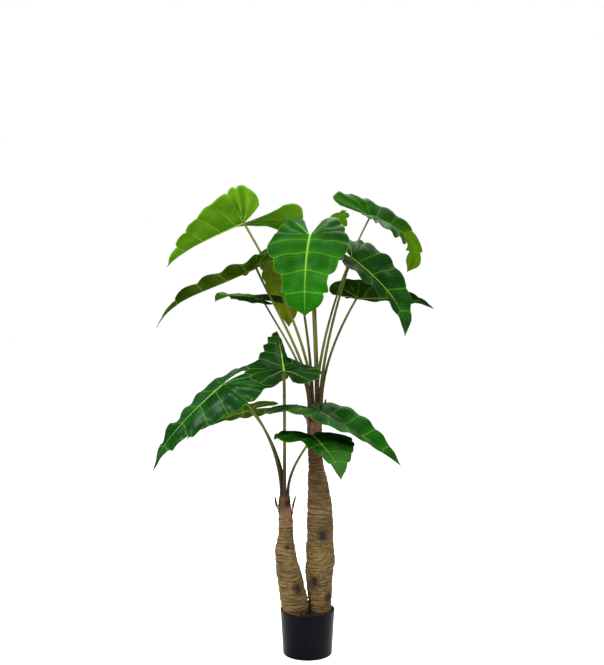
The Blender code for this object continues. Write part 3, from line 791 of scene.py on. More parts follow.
@dataclass(frozen=True)
class Planter:
    """The planter and its potting filler."""
    height: float = 0.141
    rim_radius: float = 0.0865
    foot_radius: float = 0.078
    wall: float = 0.002
    floor: float = 0.003
    bead: float = 0.0014
    lip: float = 0.0085
    filler_top: float = 0.1325
    filler_skirt: float = 0.02
    filler_gap: float = 0.0006
    lumps: tuple[tuple[float, float, int], ...] = ((0.0016, 0.012, 5), (0.0011, 0.0045, 6))
    crumb_count: int = 620
    sides: int = 144

    def wall_radius(self, height: Array) -> Array:
        """Outer radius at a height: a straight taper."""
        return self.foot_radius + (self.rim_radius - self.foot_radius) * height / self.height

    def profile(self) -> Array:
        """Points of the wall's section, radius and height, from the underside's centre to the floor's centre.

        A recessed underside, a foot ring, the tapered outside, a half-round bead at the rim and the inside.

        Returns:
            The points, n by 2.
        """
        foot, under_lip = self.foot_radius, self.height - self.lip - self.wall
        outside = np.linspace(0.004, self.height - 0.012, 16)
        inside = np.linspace(self.height - 0.010, self.floor + 0.004, 12)
        turn = np.linspace(0.0, np.pi, 9)
        bead = self.rim_radius + self.bead * (np.cos(turn) * np.where(turn > np.pi / 2, 0.6, 1.0) - 1)
        foot_ring = ((-0.016, 0.0012), (-0.0145, 0.0002), (-0.0120, 0.0), (-0.0022, 0.0), (-0.0008, 0.0006),
                     (-0.0001, 0.0018))
        points = [(0.0, 0.0012), *((foot + inset, level) for inset, level in foot_ring)]
        points += zip(self.wall_radius(outside), outside)
        points += [(self.wall_radius(under_lip) - 0.0002, under_lip),
                   (self.rim_radius - 0.0002, self.height - self.lip)]
        points += zip(bead, self.height + self.bead * (np.sin(turn) - 1))
        points += zip(self.wall_radius(inside) - self.wall, inside)
        points += [(foot - self.wall - 0.002, self.floor), (0.0, self.floor)]
        return np.array(points)

    def build(self) -> None:
        """Turn the section about +Z: x = r cos(a), y = r sin(a), z = h."""
        section = self.profile()
        gather = Gather()
        gather.add_round(polar(0.0, 0.0, section[:, :1], circle(self.sides), section[:, 1:]), lengths(section))
        gather.build("planter", "pot", "pot", PlanterFinish().material())

    def build_filler(self) -> None:
        """Fill the planter: a lumpy disc whose height is two octaves of noise, with crumbs lying on it."""
        edge = self.wall_radius(self.filler_top) - self.wall - self.filler_gap
        radius = np.concatenate([np.linspace(0.0, edge, 44), [edge - 0.001, 0.0]])
        grid = polar(0.0, 0.0, radius[:, None], circle(128), self.filler_top)
        fade = 1 - ease(radius[:, None], 0.9 * edge, edge)
        for rise, span, seed in self.lumps:
            cells = grid[..., :2] / span + 30
            grid[..., 2] += rise * lattice_noise(cells[..., 0], cells[..., 1], seed) * fade
        grid[-2:, :, 2] = self.filler_top - self.filler_skirt
        gather = Gather()
        gather.add_round(grid, radius, flip=True)
        self.crumbs(gather, edge)
        gather.build("potting_mix", "filler", "potting_filler", FillerFinish().material())

    def crumbs(self, gather: Gather, edge: float) -> None:
        """Scatter angular crumbs: an octahedron with moved corners, scaled and turned, at seeded places.

        Args:
            gather: The filler's mesh under construction.
            edge: Radius of the filler.
        """
        rng = np.random.default_rng(11)
        count = self.crumb_count
        base = np.array([(1, 0, 0), (0, 1, 0), (-1, 0, 0), (0, -1, 0), (0, 0, 1), (0, 0, -1)], dtype=float)
        faces = np.array([(0, 1, 4, 4), (1, 2, 4, 4), (2, 3, 4, 4), (3, 0, 4, 4), (1, 0, 5, 5), (2, 1, 5, 5),
                          (3, 2, 5, 5), (0, 3, 5, 5)])
        radius, bearing = edge * 0.96 * np.sqrt(rng.uniform(0, 1, count)), rng.uniform(0, TURN, count)
        corners = base * (rng.uniform(0.0014, 0.0036, (count, 1, 1)) * rng.uniform(0.6, 1.2, (count, 6, 3)))
        turn = rng.uniform(0, np.pi, count)[:, None]
        x, y, z = (corners[..., k] for k in range(3))
        spun = np.stack([x * np.cos(turn) - y * np.sin(turn), x * np.sin(turn) + y * np.cos(turn), z * 0.7], -1)
        centre = polar(0.0, 0.0, radius, bearing, self.filler_top + 0.0006)
        points = (spun + centre[:, None]).reshape(-1, 3)
        quads = (faces[None] + 6 * np.arange(count)[:, None, None]).reshape(-1, 4)
        gather.add(points, quads, points[quads][..., :2] * 10)


@dataclass(frozen=True)
class Knot:
    """A scar left by a fallen leaf: its height, bearing in degrees, width, swelling and how dark it is."""
    height: float
    bearing: float
    width: float
    swelling: float
    dark: float = 1.0
    flatness: float = 0.68

    def away(self, angle: Array, height: Array, girth: Array) -> Array:
        """Distance from the eye over the bark, in half widths: the eye is taller than it is wide.

        Args:
            angle, height: Places on the bark.
            girth: The trunk's radius there.

        Returns:
            The distance of each place.
        """
        turn = angle - np.radians(self.bearing)
        across = np.arctan2(np.sin(turn), np.cos(turn)) * girth
        return np.hypot(across, (height - self.height) * self.flatness) / (self.width / 2)


@dataclass(frozen=True)
class Trunk:
    """A ringed trunk: centre x, y, height and radius at each station, its knots and its coloured bands."""
    name: str
    stations: tuple[tuple[float, float, float, float], ...]
    knots: tuple[Knot, ...]
    blush: tuple[tuple[float, float], ...]
    sheath_from: float
    seed: int
    bottom: float = 0.118
    dome: float = 0.010
    ring_spacing: float = 0.024
    ring_depth: float = 0.0005
    wander: float = 0.0011
    wrinkle_spacing: float = 0.0105
    wrinkle_depth: float = 0.0009
    grain_depth: float = 0.0005
    eye_depth: float = 0.0035
    eye_ripple: float = 0.0007
    calm_end: float = 0.02
    blush_edge: float = 0.006
    sheath_edge: tuple[float, float] = (-0.012, 0.03)
    level_step: float = 0.00095
    around: int = 100

    def centre_and_radius(self, height: Array) -> Array:
        """Read the stations along a smooth curve at the given heights."""
        levels = [row[2] for row in self.stations]
        return smooth_rows(self.stations, np.interp(height, levels, np.linspace(0.0, 1.0, len(levels))))

    def noise(self, angle: Array, height: Array, cells: int, tall: float, lattice: int) -> Array:
        """Noise over the bark: so many cells round it, each so tall, from one of the trunk's lattices."""
        return lattice_noise(angle / TURN * cells, height / tall, self.seed + lattice, cells)

    def wrinkles(self, angle: Array, height: Array) -> tuple[Array, Array]:
        """Waves across the bark, a wrinkle spacing apart, which noise tilts and breaks up, with hairlines between.

        Args:
            angle, height: Places on the bark.

        Returns:
            How far each place stands out, and how deep in a crease it is, which is the mask of the painted crease
            shade.
        """
        wide = self.noise(angle, height, 6, 0.013, 0)
        narrow = self.noise(angle, height, 11, 0.006, 1)
        tilt = self.noise(angle, height, 3, 0.06, 2)
        grain = self.noise(angle, height, 34, 0.0034, 3)
        run = height / self.wrinkle_spacing + 1.3 * tilt + 0.42 * wide
        swell = np.abs(np.sin(np.pi * run))
        line = bell(swell / 0.30) * np.clip(0.65 + 0.7 * wide, 0.0, 1.1)
        hair = bell(np.sin(np.pi * (2.0 * run + 0.6 * narrow)) / 0.35) * clamp(narrow)
        lift = self.wrinkle_depth * (swell - 0.6 - line + wide) + self.grain_depth * grain
        return lift, clamp(0.95 * line + 0.6 * hair + 0.15 * grain)

    def radius_at(self, angle: Array, height: Array, fine: bool = True) -> tuple[Array, Array]:
        """Radius and crease depth of the bark.

        Rings bulge between creases a ring spacing apart, and low waves wander over them. Wrinkles lie across them.
        A knot is a bell with ripples round a sunk eye.

        Args:
            angle, height: Places on the bark.
            fine: True with wrinkles, ripples and eyes.

        Returns:
            The radius, and how deep in a crease each place is, for the painted crease shade.
        """
        first, last = self.stations[0][2], self.stations[-1][2]
        girth = self.centre_and_radius(height)[..., 3]
        fold = np.abs(np.cos(np.pi * (height / self.ring_spacing + 0.15 * np.sin(2 * angle + 40 * height)))) ** 3
        calm = clamp((height - first) / self.calm_end) * clamp((last - height) / self.calm_end)
        wander = self.wander * np.sin(3 * angle + 30 * height) * np.sin(55 * height + angle)
        lift = self.ring_depth * (1 - 2 * fold) + wander
        crease = np.zeros_like(girth)
        if fine:
            wrinkle, crease = self.wrinkles(angle, height)
            lift = lift + wrinkle
        for knot in self.knots:
            far = knot.away(angle, height, girth)
            lift = lift + knot.swelling * bell(far)
            if fine:
                lift = lift + self.eye_ripple * np.cos(9 * far) * bell(far)
                lift = lift - self.eye_depth * bell(2.2 * far) * min(1.0, knot.dark)
        return girth + lift * calm, crease

    def knot_mask(self, angle: Array, height: Array, girth: Array) -> Array:
        """How near a knot's eye a place is: 1 in the eye, with faint rings round it, all roughened by noise.

        Args:
            angle, height: Places on the bark.
            girth: The trunk's radius there.

        Returns:
            The mask.
        """
        total = np.zeros_like(angle)
        rough = 0.16 * self.noise(angle, height, 40, 0.006, 6)
        for knot in self.knots:
            far = knot.away(angle, height, girth) + rough
            rings = 0.45 * bell((far - 1.0) / 0.13) + 0.30 * bell((far - 0.75) / 0.06)
            total = np.maximum(total, knot.dark * (np.exp(-(far * 1.35) ** 4) + rings))
        return clamp(total)

    def bands(self, angle: Array, height: Array) -> tuple[Array, Array]:
        """Ragged masks of the pinkish scars, blotched by noise, and of the sheathed top.

        Args:
            angle, height: Places on the bark.

        Returns:
            The two masks.
        """
        ragged = 0.006 * self.noise(angle, height, 8, 0.02, 4) + 0.004 * self.noise(angle, height, 23, 0.007, 5)
        blotched = 0.55 + 0.45 * self.noise(angle, height, 16, 0.006, 0)
        level, soft = height + ragged, self.blush_edge
        blush = np.zeros_like(angle)
        for low, high in self.blush:
            band = ease(level, low - soft, low + soft) * (1 - ease(level, high - soft, high + soft))
            blush = np.maximum(blush, band * blotched)
        start, full = (self.sheath_from + shift for shift in self.sheath_edge)
        return clamp(blush), ease(level + ragged, start, full)

    def build(self) -> None:
        """Make the bark's grid, closed at the foot under the filler and by a low dome at the crown."""
        high = self.stations[-1][2]
        levels = np.arange(self.bottom, high + self.level_step / 2, self.level_step)
        rise = np.linspace(0.0, np.pi / 2, 9)[1:]
        count = len(levels)
        angle, height = np.meshgrid(circle(self.around), levels)
        radius, crease = self.radius_at(angle, height)
        pick = np.concatenate([[0], np.arange(count), np.full(len(rise), count - 1)])
        shrink = np.concatenate([[0.0], np.ones(count), np.cos(rise[:-1]), [0.0]])
        rows = self.centre_and_radius(height)[pick]
        angle, height, crease, radius = angle[pick], height[pick], crease[pick], radius[pick] * shrink[:, None]
        height[count + 1:] = high + self.dome * np.sin(rise)[:, None]
        blush, sheath = self.bands(angle, height)
        knot = self.knot_mask(angle, height, rows[..., 3])
        gather = Gather()
        gather.add_round(polar(rows[..., 0], rows[..., 1], radius, angle, height), height[:, 0],
                         crease=crease, knot=knot, blush=blush, sheath=sheath)
        gather.build(self.name, "bark", self.name.replace("bark_", "trunk_"),
                     BarkFinish(self.name + "_bark").material())


SHORT_TRUNK = Trunk(
    "bark_short",
    ((-0.038, -0.016, 0.133, 0.0385), (-0.041, -0.016, 0.158, 0.044), (-0.049, -0.016, 0.205, 0.042),
     (-0.0585, -0.016, 0.254, 0.0395), (-0.068, -0.016, 0.310, 0.034), (-0.0705, -0.016, 0.350, 0.029),
     (-0.069, -0.016, 0.400, 0.0235), (-0.070, -0.016, 0.440, 0.0225), (-0.073, -0.016, 0.480, 0.019),
     (-0.073, -0.016, 0.500, 0.0175)),
    (Knot(0.218, -62.0, 0.034, 0.0035), Knot(0.335, 165.0, 0.022, 0.0030, 0.3),
     Knot(0.347, -78.0, 0.015, 0.0015, 0.8), Knot(0.290, -120.0, 0.018, 0.0020, 0.3)),
    ((0.322, 0.345), (0.408, 0.470)), 0.462, 21)
TALL_TRUNK = Trunk(
    "bark_tall",
    ((0.042, 0.012, 0.133, 0.0365), (0.040, 0.012, 0.175, 0.0385), (0.038, 0.012, 0.247, 0.0435),
     (0.041, 0.012, 0.300, 0.0450), (0.041, 0.012, 0.369, 0.0430), (0.040, 0.012, 0.443, 0.0415),
     (0.037, 0.012, 0.500, 0.0360), (0.033, 0.012, 0.546, 0.0315), (0.027, 0.011, 0.600, 0.0250),
     (0.023, 0.010, 0.660, 0.0230), (0.023, 0.010, 0.720, 0.0235), (0.025, 0.010, 0.760, 0.0255),
     (0.025, 0.010, 0.778, 0.0262)),
    (Knot(0.381, -82.0, 0.032, 0.0040), Knot(0.295, -15.0, 0.024, 0.0045, 0.4),
     Knot(0.232, -114.0, 0.036, 0.0030), Knot(0.180, -48.0, 0.032, 0.0025), Knot(0.335, 185.0, 0.026, 0.0030, 0.3),
     Knot(0.520, -30.0, 0.020, 0.0015, 0.5)),
    ((0.440, 0.468),), 0.585, 33)


class Crown(Enum):
    """The trunk whose top a petiole stands on."""
    TALL = TALL_TRUNK
    SHORT = SHORT_TRUNK


OUTER_RING = 0.0195
INNER_RING = 0.0072
SHORT_RING = 0.0095


@dataclass(frozen=True)
class Half:
    """One half of a blade: folds at the lobe, the middle and the tip, and its outline's changes."""
    folds: Point
    curl: float = -25.0
    lobe: float = 1.0
    flare: float = 0.0
    trim: float = 0.0
    width: float = 1.0
    ruffle: float = 1.0


@dataclass(frozen=True)
class Skin:
    """How lively a blade is: its margin's scallops and waves, its skin's puffs and how stout its midrib is."""
    scallop: float = 0.05
    wave: float = 0.013
    puff: float = 0.0070
    rib: float = 1.0


@dataclass(frozen=True)
class Leaf:
    """A leaf: its petiole's foot and arrival, the junction with the blade, the tip, and the blade's bends."""
    junction: Point
    tip: Point
    left: Half
    right: Half
    arrival: Point
    foot: tuple[float, float]
    tone: Tone = Tone.DEEP
    crown: Crown = Crown.TALL
    bow: float = 0.05
    hook: float = 0.04
    roll: float = 0.0
    twist: float = 0.0
    lobe_bend: float = -3.0
    stout: float = 1.0
    splay: float = 0.0
    drip: float = 0.0
    spiky: bool = False
    skin: Skin = Skin()


@dataclass(frozen=True)
class Petiole:
    """A leaf stalk: a round stem on one smooth curve from the crown to the blade."""
    label: str
    leaf: Leaf
    foot_radius: float = 0.0058
    top_radius: float = 0.0038
    swelling: float = 0.0016
    swelling_reach: float = 0.035
    knobs: float = 0.035
    knob_length: float = 0.012
    groove_depth: float = 0.55
    groove_reach: float = 0.10
    groove_angle: float = 0.55
    stub: float = 0.0043
    root: float = 0.012
    reach: float = 0.30
    rings: int = 90
    sides: int = 18

    def foot(self) -> Array:
        """Where the stalk stands on its trunk's top: a ring's radius and a bearing.

        Returns:
            The point.
        """
        x, y, z = self.leaf.crown.value.stations[-1][:3]
        ring, bearing = self.leaf.foot
        return polar(x, y, ring, np.radians(bearing), z)

    def path(self) -> Array:
        """Cubic from the foot, upright at first, to the blade's junction, which it meets in its arrival.

        Returns:
            The points, the first of them sunk into the trunk.
        """
        start, end = self.foot() + (0.0, 0.0, self.stub), np.array(self.leaf.junction)
        span = np.linalg.norm(end - start)
        first = start + (0.0, 0.0, self.reach * span)
        last = end - unit(np.array(self.leaf.arrival)) * span * self.reach
        t = np.linspace(0.0, 1.0, self.rings)[:, None]
        curve = (1 - t) ** 3 * start + 3 * (1 - t) ** 2 * t * first + 3 * (1 - t) * t**2 * last + t**3 * end
        return np.concatenate([[self.foot() - (0.0, 0.0, self.root)], curve])

    def build(self, material: bpy.types.Material) -> None:
        """Carry a circle along the path, grooved on the inner side near the foot, where the stalk is a sheath.

        Args:
            material: The stalk's finish.
        """
        path = self.path()
        run = lengths(path)
        heading = headings(path)
        x, y = self.leaf.crown.value.stations[-1][:2]
        inward = np.array([x - path[0, 0] + 1e-6, y - path[0, 1], 0.0])
        up = unit(inward - (heading @ inward)[:, None] * heading)
        top = self.top_radius * self.leaf.stout
        radius = top + (self.foot_radius - top) * (1 - run / run[-1]) ** 2
        radius += self.swelling * np.exp(-run / self.swelling_reach)
        radius[-1] *= 0.8
        grid = tube(path, np.cross(heading, up), up, radius, radius, self.sides)
        angle = circle(self.sides)
        noise = lattice_noise(angle[None] * 6 / TURN, run[:, None] / self.knob_length, ord(self.label), 6)
        sink = self.groove_depth * np.exp(-run / self.groove_reach) * radius
        groove = sink[:, None] * bell((angle - np.pi / 2) / self.groove_angle)
        spokes = grid[1:-1] - path[:, None]
        grid[1:-1] += spokes * self.knobs * noise[..., None] - groove[..., None] * up[:, None]
        gather = Gather()
        gather.add_round(grid, np.pad(run, 1, mode="edge"))
        gather.build("stalk_" + self.label, "petiole", "petiole_" + self.label, material)


HALF_OUTLINE = np.array([
    (-0.43, 0.075), (-0.50, 0.14), (-0.50, 0.23), (-0.41, 0.32), (-0.24, 0.39), (-0.05, 0.42), (0.12, 0.405),
    (0.30, 0.355), (0.48, 0.285), (0.66, 0.205), (0.82, 0.12), (0.93, 0.045), (1.0, 0.0),
])


def arc_offset(start: Array, bend: float, distance: Array) -> tuple[Array, Array]:
    """Sideways and upward travel along an arc that starts at an angle and turns by bend a metre.

    Args:
        start: Angle at the start, in radians.
        bend: Radians a metre.
        distance: Length along the arc.

    Returns:
        The travel both ways.
    """
    if abs(bend) < 1e-6:
        return np.cos(start) * distance, np.sin(start) * distance
    end = start + bend * distance
    return (np.sin(end) - np.sin(start)) / bend, (np.cos(start) - np.cos(end)) / bend


@dataclass(frozen=True)
class Blade:
    """An arrow-shaped blade: two waved halves along an arched midrib, with raised veins.

    Its flat shape has a length of 1 from the junction to the tip. half_width is the outline's largest half width,
    and lobe_reach is how far behind the junction the changes to the basal lobes are full. The folds run from
    fold_start to the tip, and curl is the turn over curl_width. Each span is where a change sets in and is full.
    """
    label: str
    leaf: Leaf
    veins: int = 8
    rows_per_vein: int = 13
    columns: int = 14
    buckle: float = 0.022
    junction_share: float = 0.42
    half_width: float = 0.42
    lobe_reach: float = 0.3
    fold_start: float = -0.35
    curl_width: float = 0.45
    rib_lead: float = 1.25
    vein_sweep: float = 1.15
    scallop_span: tuple[float, float] = (0.06, 0.34)
    trim_span: tuple[float, float] = (-0.1, 0.25)
    drip_span: tuple[float, float] = (0.62, 0.92)
    nibble: float = 0.012
    phase_shift: float = 1.3
    thickness: float = 0.0012
    midrib_radius: float = 0.0024
    vein_radius: float = 0.0012
    rib_taper: float = 0.72
    rib_height: float = 0.9
    spike: float = 0.006
    spike_radius: float = 0.0004

    def noise(self, along: Array, across: Numbers, lattice: int) -> Array:
        """Noise from one of the leaf's own lattices."""
        return lattice_noise(along, across, ord(self.label) + lattice)

    def flat(self, half: Half, along: Array, across: Array) -> tuple[Array, Array]:
        """Flat place of a point of a half blade of length 1.

        The margin is drawn in at each vein's end, by an amount that wanders, so that it bulges between the veins,
        and noise nibbles at it.

        Args:
            half: The half's own numbers.
            along: Shares from the basal notch's edge round the lobe to the tip.
            across: Shares from the rib to the margin.

        Returns:
            Distances forward and outward.
        """
        reach = lengths(HALF_OUTLINE)
        edge = smooth_rows(HALF_OUTLINE, np.interp(along, reach / reach[-1], np.linspace(0.0, 1.0, len(reach))))
        notch = 1.0 - np.abs(np.sin(np.pi * self.veins * along))
        fade = clamp(6 * (1 - along)) * ease(along, *self.scallop_span)
        scallop = self.leaf.skin.scallop * (1.0 + 0.7 * self.noise(along * 6.0, 0.5, 0)) * notch
        nibble = self.nibble * self.noise(along * 44.0, 2.5, 5)
        edge = edge * (1.0 - (scallop + nibble) * fade)[..., None]
        ahead, aside = edge[..., 0], edge[..., 1]
        ahead = np.where(ahead < 0, ahead * half.lobe, ahead)
        rib = clamp((along - self.junction_share) / (1 - self.junction_share)) ** self.rib_lead
        forward = rib + (ahead - rib) * across**self.vein_sweep
        inner = self.leaf.splay * (1 - aside / self.half_width) * clamp(-ahead / self.lobe_reach)
        outward = (aside * half.width + inner) * across * (1 + half.flare * clamp(-forward / self.lobe_reach))
        return forward, (outward * (1 - half.trim * ease(forward, *self.trim_span))
                         * (1 - self.leaf.drip * ease(forward, *self.drip_span)))

    def spine(self) -> tuple[Array, Array, Array, float]:
        """The midrib's curve: the chord, lifted by the bow and, nearer the tip, by the hook.

        Returns:
            Points and directions in six columns, their shares of its length, the blade's side, and the length.
        """
        junction, tip = np.array(self.leaf.junction), np.array(self.leaf.tip)
        chord = tip - junction
        span = np.linalg.norm(chord)
        level = unit(np.cross(chord / span, (0.0, 0.0, 1.0)))
        rise = np.cross(level, chord / span)
        roll = np.radians(self.leaf.roll)
        side = level * np.cos(roll) + rise * np.sin(roll)
        up = rise * np.cos(roll) - level * np.sin(roll)
        g = np.linspace(0.0, 1.0, 65)[:, None]
        lift = self.leaf.bow * arch(g) + self.leaf.hook * (256 / 27) * g**3 * (1 - g)
        points = junction + g * chord + lift * span * up
        run = lengths(points)
        return np.concatenate([points, headings(points)], axis=1), run / run[-1], side, float(run[-1])

    def surface(self, right: bool, along: Array, across: Array) -> Array:
        """Points of one half of a blade in space.

        The midrib is an arc from the junction to the tip, and the basal lobes follow its tangent backwards on
        an arc of their own. Each cross section is an arc that leaves the midrib at the fold and curls. The
        margin waves once a vein, livelier in some places than in others, the skin puffs up between the veins, and
        noise buckles it.

        Args:
            right: True for the right half.
            along, across: Shares as in flat.

        Returns:
            The points.
        """
        half, skin = self.leaf.right if right else self.leaf.left, self.leaf.skin
        track, share, side, length = self.spine()
        forward, outward = self.flat(half, along, across)
        reading = np.stack([np.interp(clamp(forward), share, column) for column in track.T], -1)
        rib, ahead = reading[..., :3], unit(reading[..., 3:])
        out = unit(side - (ahead * side).sum(-1, keepdims=True) * ahead)
        up = np.cross(out, ahead)
        twist = (np.radians(self.leaf.twist) * np.clip(forward, -self.lobe_reach, 1.0))[..., None]
        out, up = out * np.cos(twist) + up * np.sin(twist), up * np.cos(twist) - out * np.sin(twist)
        behind = -np.clip(forward, None, 0.0) * length
        travel, drop = arc_offset(np.zeros_like(behind), self.leaf.lobe_bend, behind)
        rib = rib - travel[..., None] * ahead + drop[..., None] * up
        lean = (self.leaf.lobe_bend * behind)[..., None]
        up = up * np.cos(lean) + ahead * np.sin(lean)
        s = clamp((forward - self.fold_start) / (1 - self.fold_start))
        lobe, middle, tip = half.folds
        fold = np.radians(lobe * (1 - s) ** 2 + (2 * middle - (lobe + tip) / 2) * 2 * s * (1 - s) + tip * s**2)
        bend = np.radians(half.curl) / (self.curl_width * length)
        distance = outward * length
        sideways, raised = arc_offset(fold, bend, distance)
        phase = self.phase_shift if right else 0.0
        lively = 1.0 + 0.8 * self.noise(along * 7.0, 1.5 + phase, 9)
        wave = skin.wave * half.ruffle * lively * across**2.5 * np.sin(TURN * self.veins * along + phase)
        puff = skin.puff * np.sin(np.pi * self.veins * along) ** 2 * arch(across)
        dent = self.noise(along * 9.0, across * 2.6 + 4.0 + phase, 31)
        buckle = self.buckle * 4 * across * (1 - 0.85 * across) * dent
        offset = (wave + puff + buckle) * length * clamp(5 * along) * clamp(5 * (1 - along))
        slope = fold + bend * distance
        sideways = (sideways - offset * np.sin(slope)) * (1.0 if right else -1.0)
        return rib + sideways[..., None] * out + (raised + offset * np.cos(slope))[..., None] * up

    def build(self, materials: list[bpy.types.Material]) -> None:
        """Make the two-faced skin and the raised midrib and veins as one piece.

        Args:
            materials: Finishes of the upper face, the underside and the veins.
        """
        along = np.linspace(0.0, 1.0, self.veins * self.rows_per_vein + 1)
        across = np.linspace(0.0, 1.0, self.columns + 1) ** 0.9
        a, c = np.meshgrid(along, across, indexing="ij")
        left, right = self.surface(False, a, c), self.surface(True, a, c)
        middle = np.concatenate([left[:, ::-1], right[:, 1:]], axis=1)
        middle[-1] = middle[-1, self.columns]
        signed = np.concatenate([-across[::-1], across[1:]])
        uv = np.stack(np.meshgrid(along, 0.5 + signed / 2, indexing="ij"), -1)
        thick = self.thickness * (1.25 - 0.6 * np.abs(signed)) * np.ones((len(along), 1))
        gather = Gather()
        normals = gather.add_slab(middle, thick, uv, under=1)
        self.add_midrib(gather, middle, normals, along)
        for k in range(1, self.veins):
            for columns in (slice(self.columns, None), slice(self.columns, None, -1)):
                row = k * self.rows_per_vein
                self.add_vein(gather, middle[row, columns], normals[row, columns], across, k)
        gather.build("leaf_" + self.label, "blade", "blade_" + self.label, *materials)

    def add_midrib(self, gather: Gather, middle: Array, normals: Array, along: Array) -> None:
        """Lay a tapering rounded ridge along the midrib, lower than it is wide and sunk towards the underside.

        Args:
            gather: The mesh under construction.
            middle, normals: The skin's middle surface and its normals.
            along: The share that each row stands for.
        """
        ahead = np.flatnonzero(along > self.junction_share)
        path, up = middle[ahead, self.columns], normals[ahead, self.columns]
        path, up = np.concatenate([[self.leaf.junction], path]), np.concatenate([up[:1], up])
        run = lengths(path)
        share = run / run[-1]
        wide = self.midrib_radius * (self.leaf.stout * self.leaf.skin.rib) * (1 - self.rib_taper * share**0.9)
        sink = wide * self.rib_height * 0.28
        wide[-1] *= 0.4
        self.add_ridge(gather, path, up, sink, wide, wide * self.rib_height, share, 10)

    def add_vein(self, gather: Gather, path: Array, up: Array, across: Array, number: int) -> None:
        """Lay a finer ridge along a side vein. On a spiky leaf it runs a few millimetres past the margin.

        Args:
            gather: The mesh under construction.
            path, up: Points of the skin along the vein, and its normals there.
            across: Shares from the rib to the margin.
            number: The vein's place, counted from the basal notch.
        """
        wide = self.vein_radius * (1.35 if number == 1 else 1.0) * (1 - self.rib_taper * across)
        share = across * 0.95
        if self.leaf.spiky and number != 4:
            path = np.concatenate([path, [path[-1] + unit(path[-1] - path[-2]) * self.spike]])
            up = np.concatenate([up, up[-1:]])
            wide, share = np.append(wide, self.spike_radius), np.append(share, 1.0)
        high = np.maximum(wide * 0.85, self.thickness * 0.36)
        self.add_ridge(gather, path, up, high * 0.12, wide, high, share, 6)

    def add_ridge(self, gather: Gather, path: Array, up: Array, sink: Array, wide: Array, high: Array,
                  share: Array, sides: int) -> None:
        """Add one ridge as a closed tube in the vein finish.

        Args:
            gather: The mesh under construction.
            path, up: Points of the skin and its normals there.
            sink: How far the ridge's middle lies below those points.
            wide, high: Half sizes of its section.
            share: The UV's second number at each point.
            sides: Points round the section.
        """
        side = unit(np.cross(headings(path), up))
        grid = tube(path - up * sink[:, None], side, up, wide, high, sides)
        gather.add_round(grid, np.pad(share, 1, mode="edge"), slot=2)


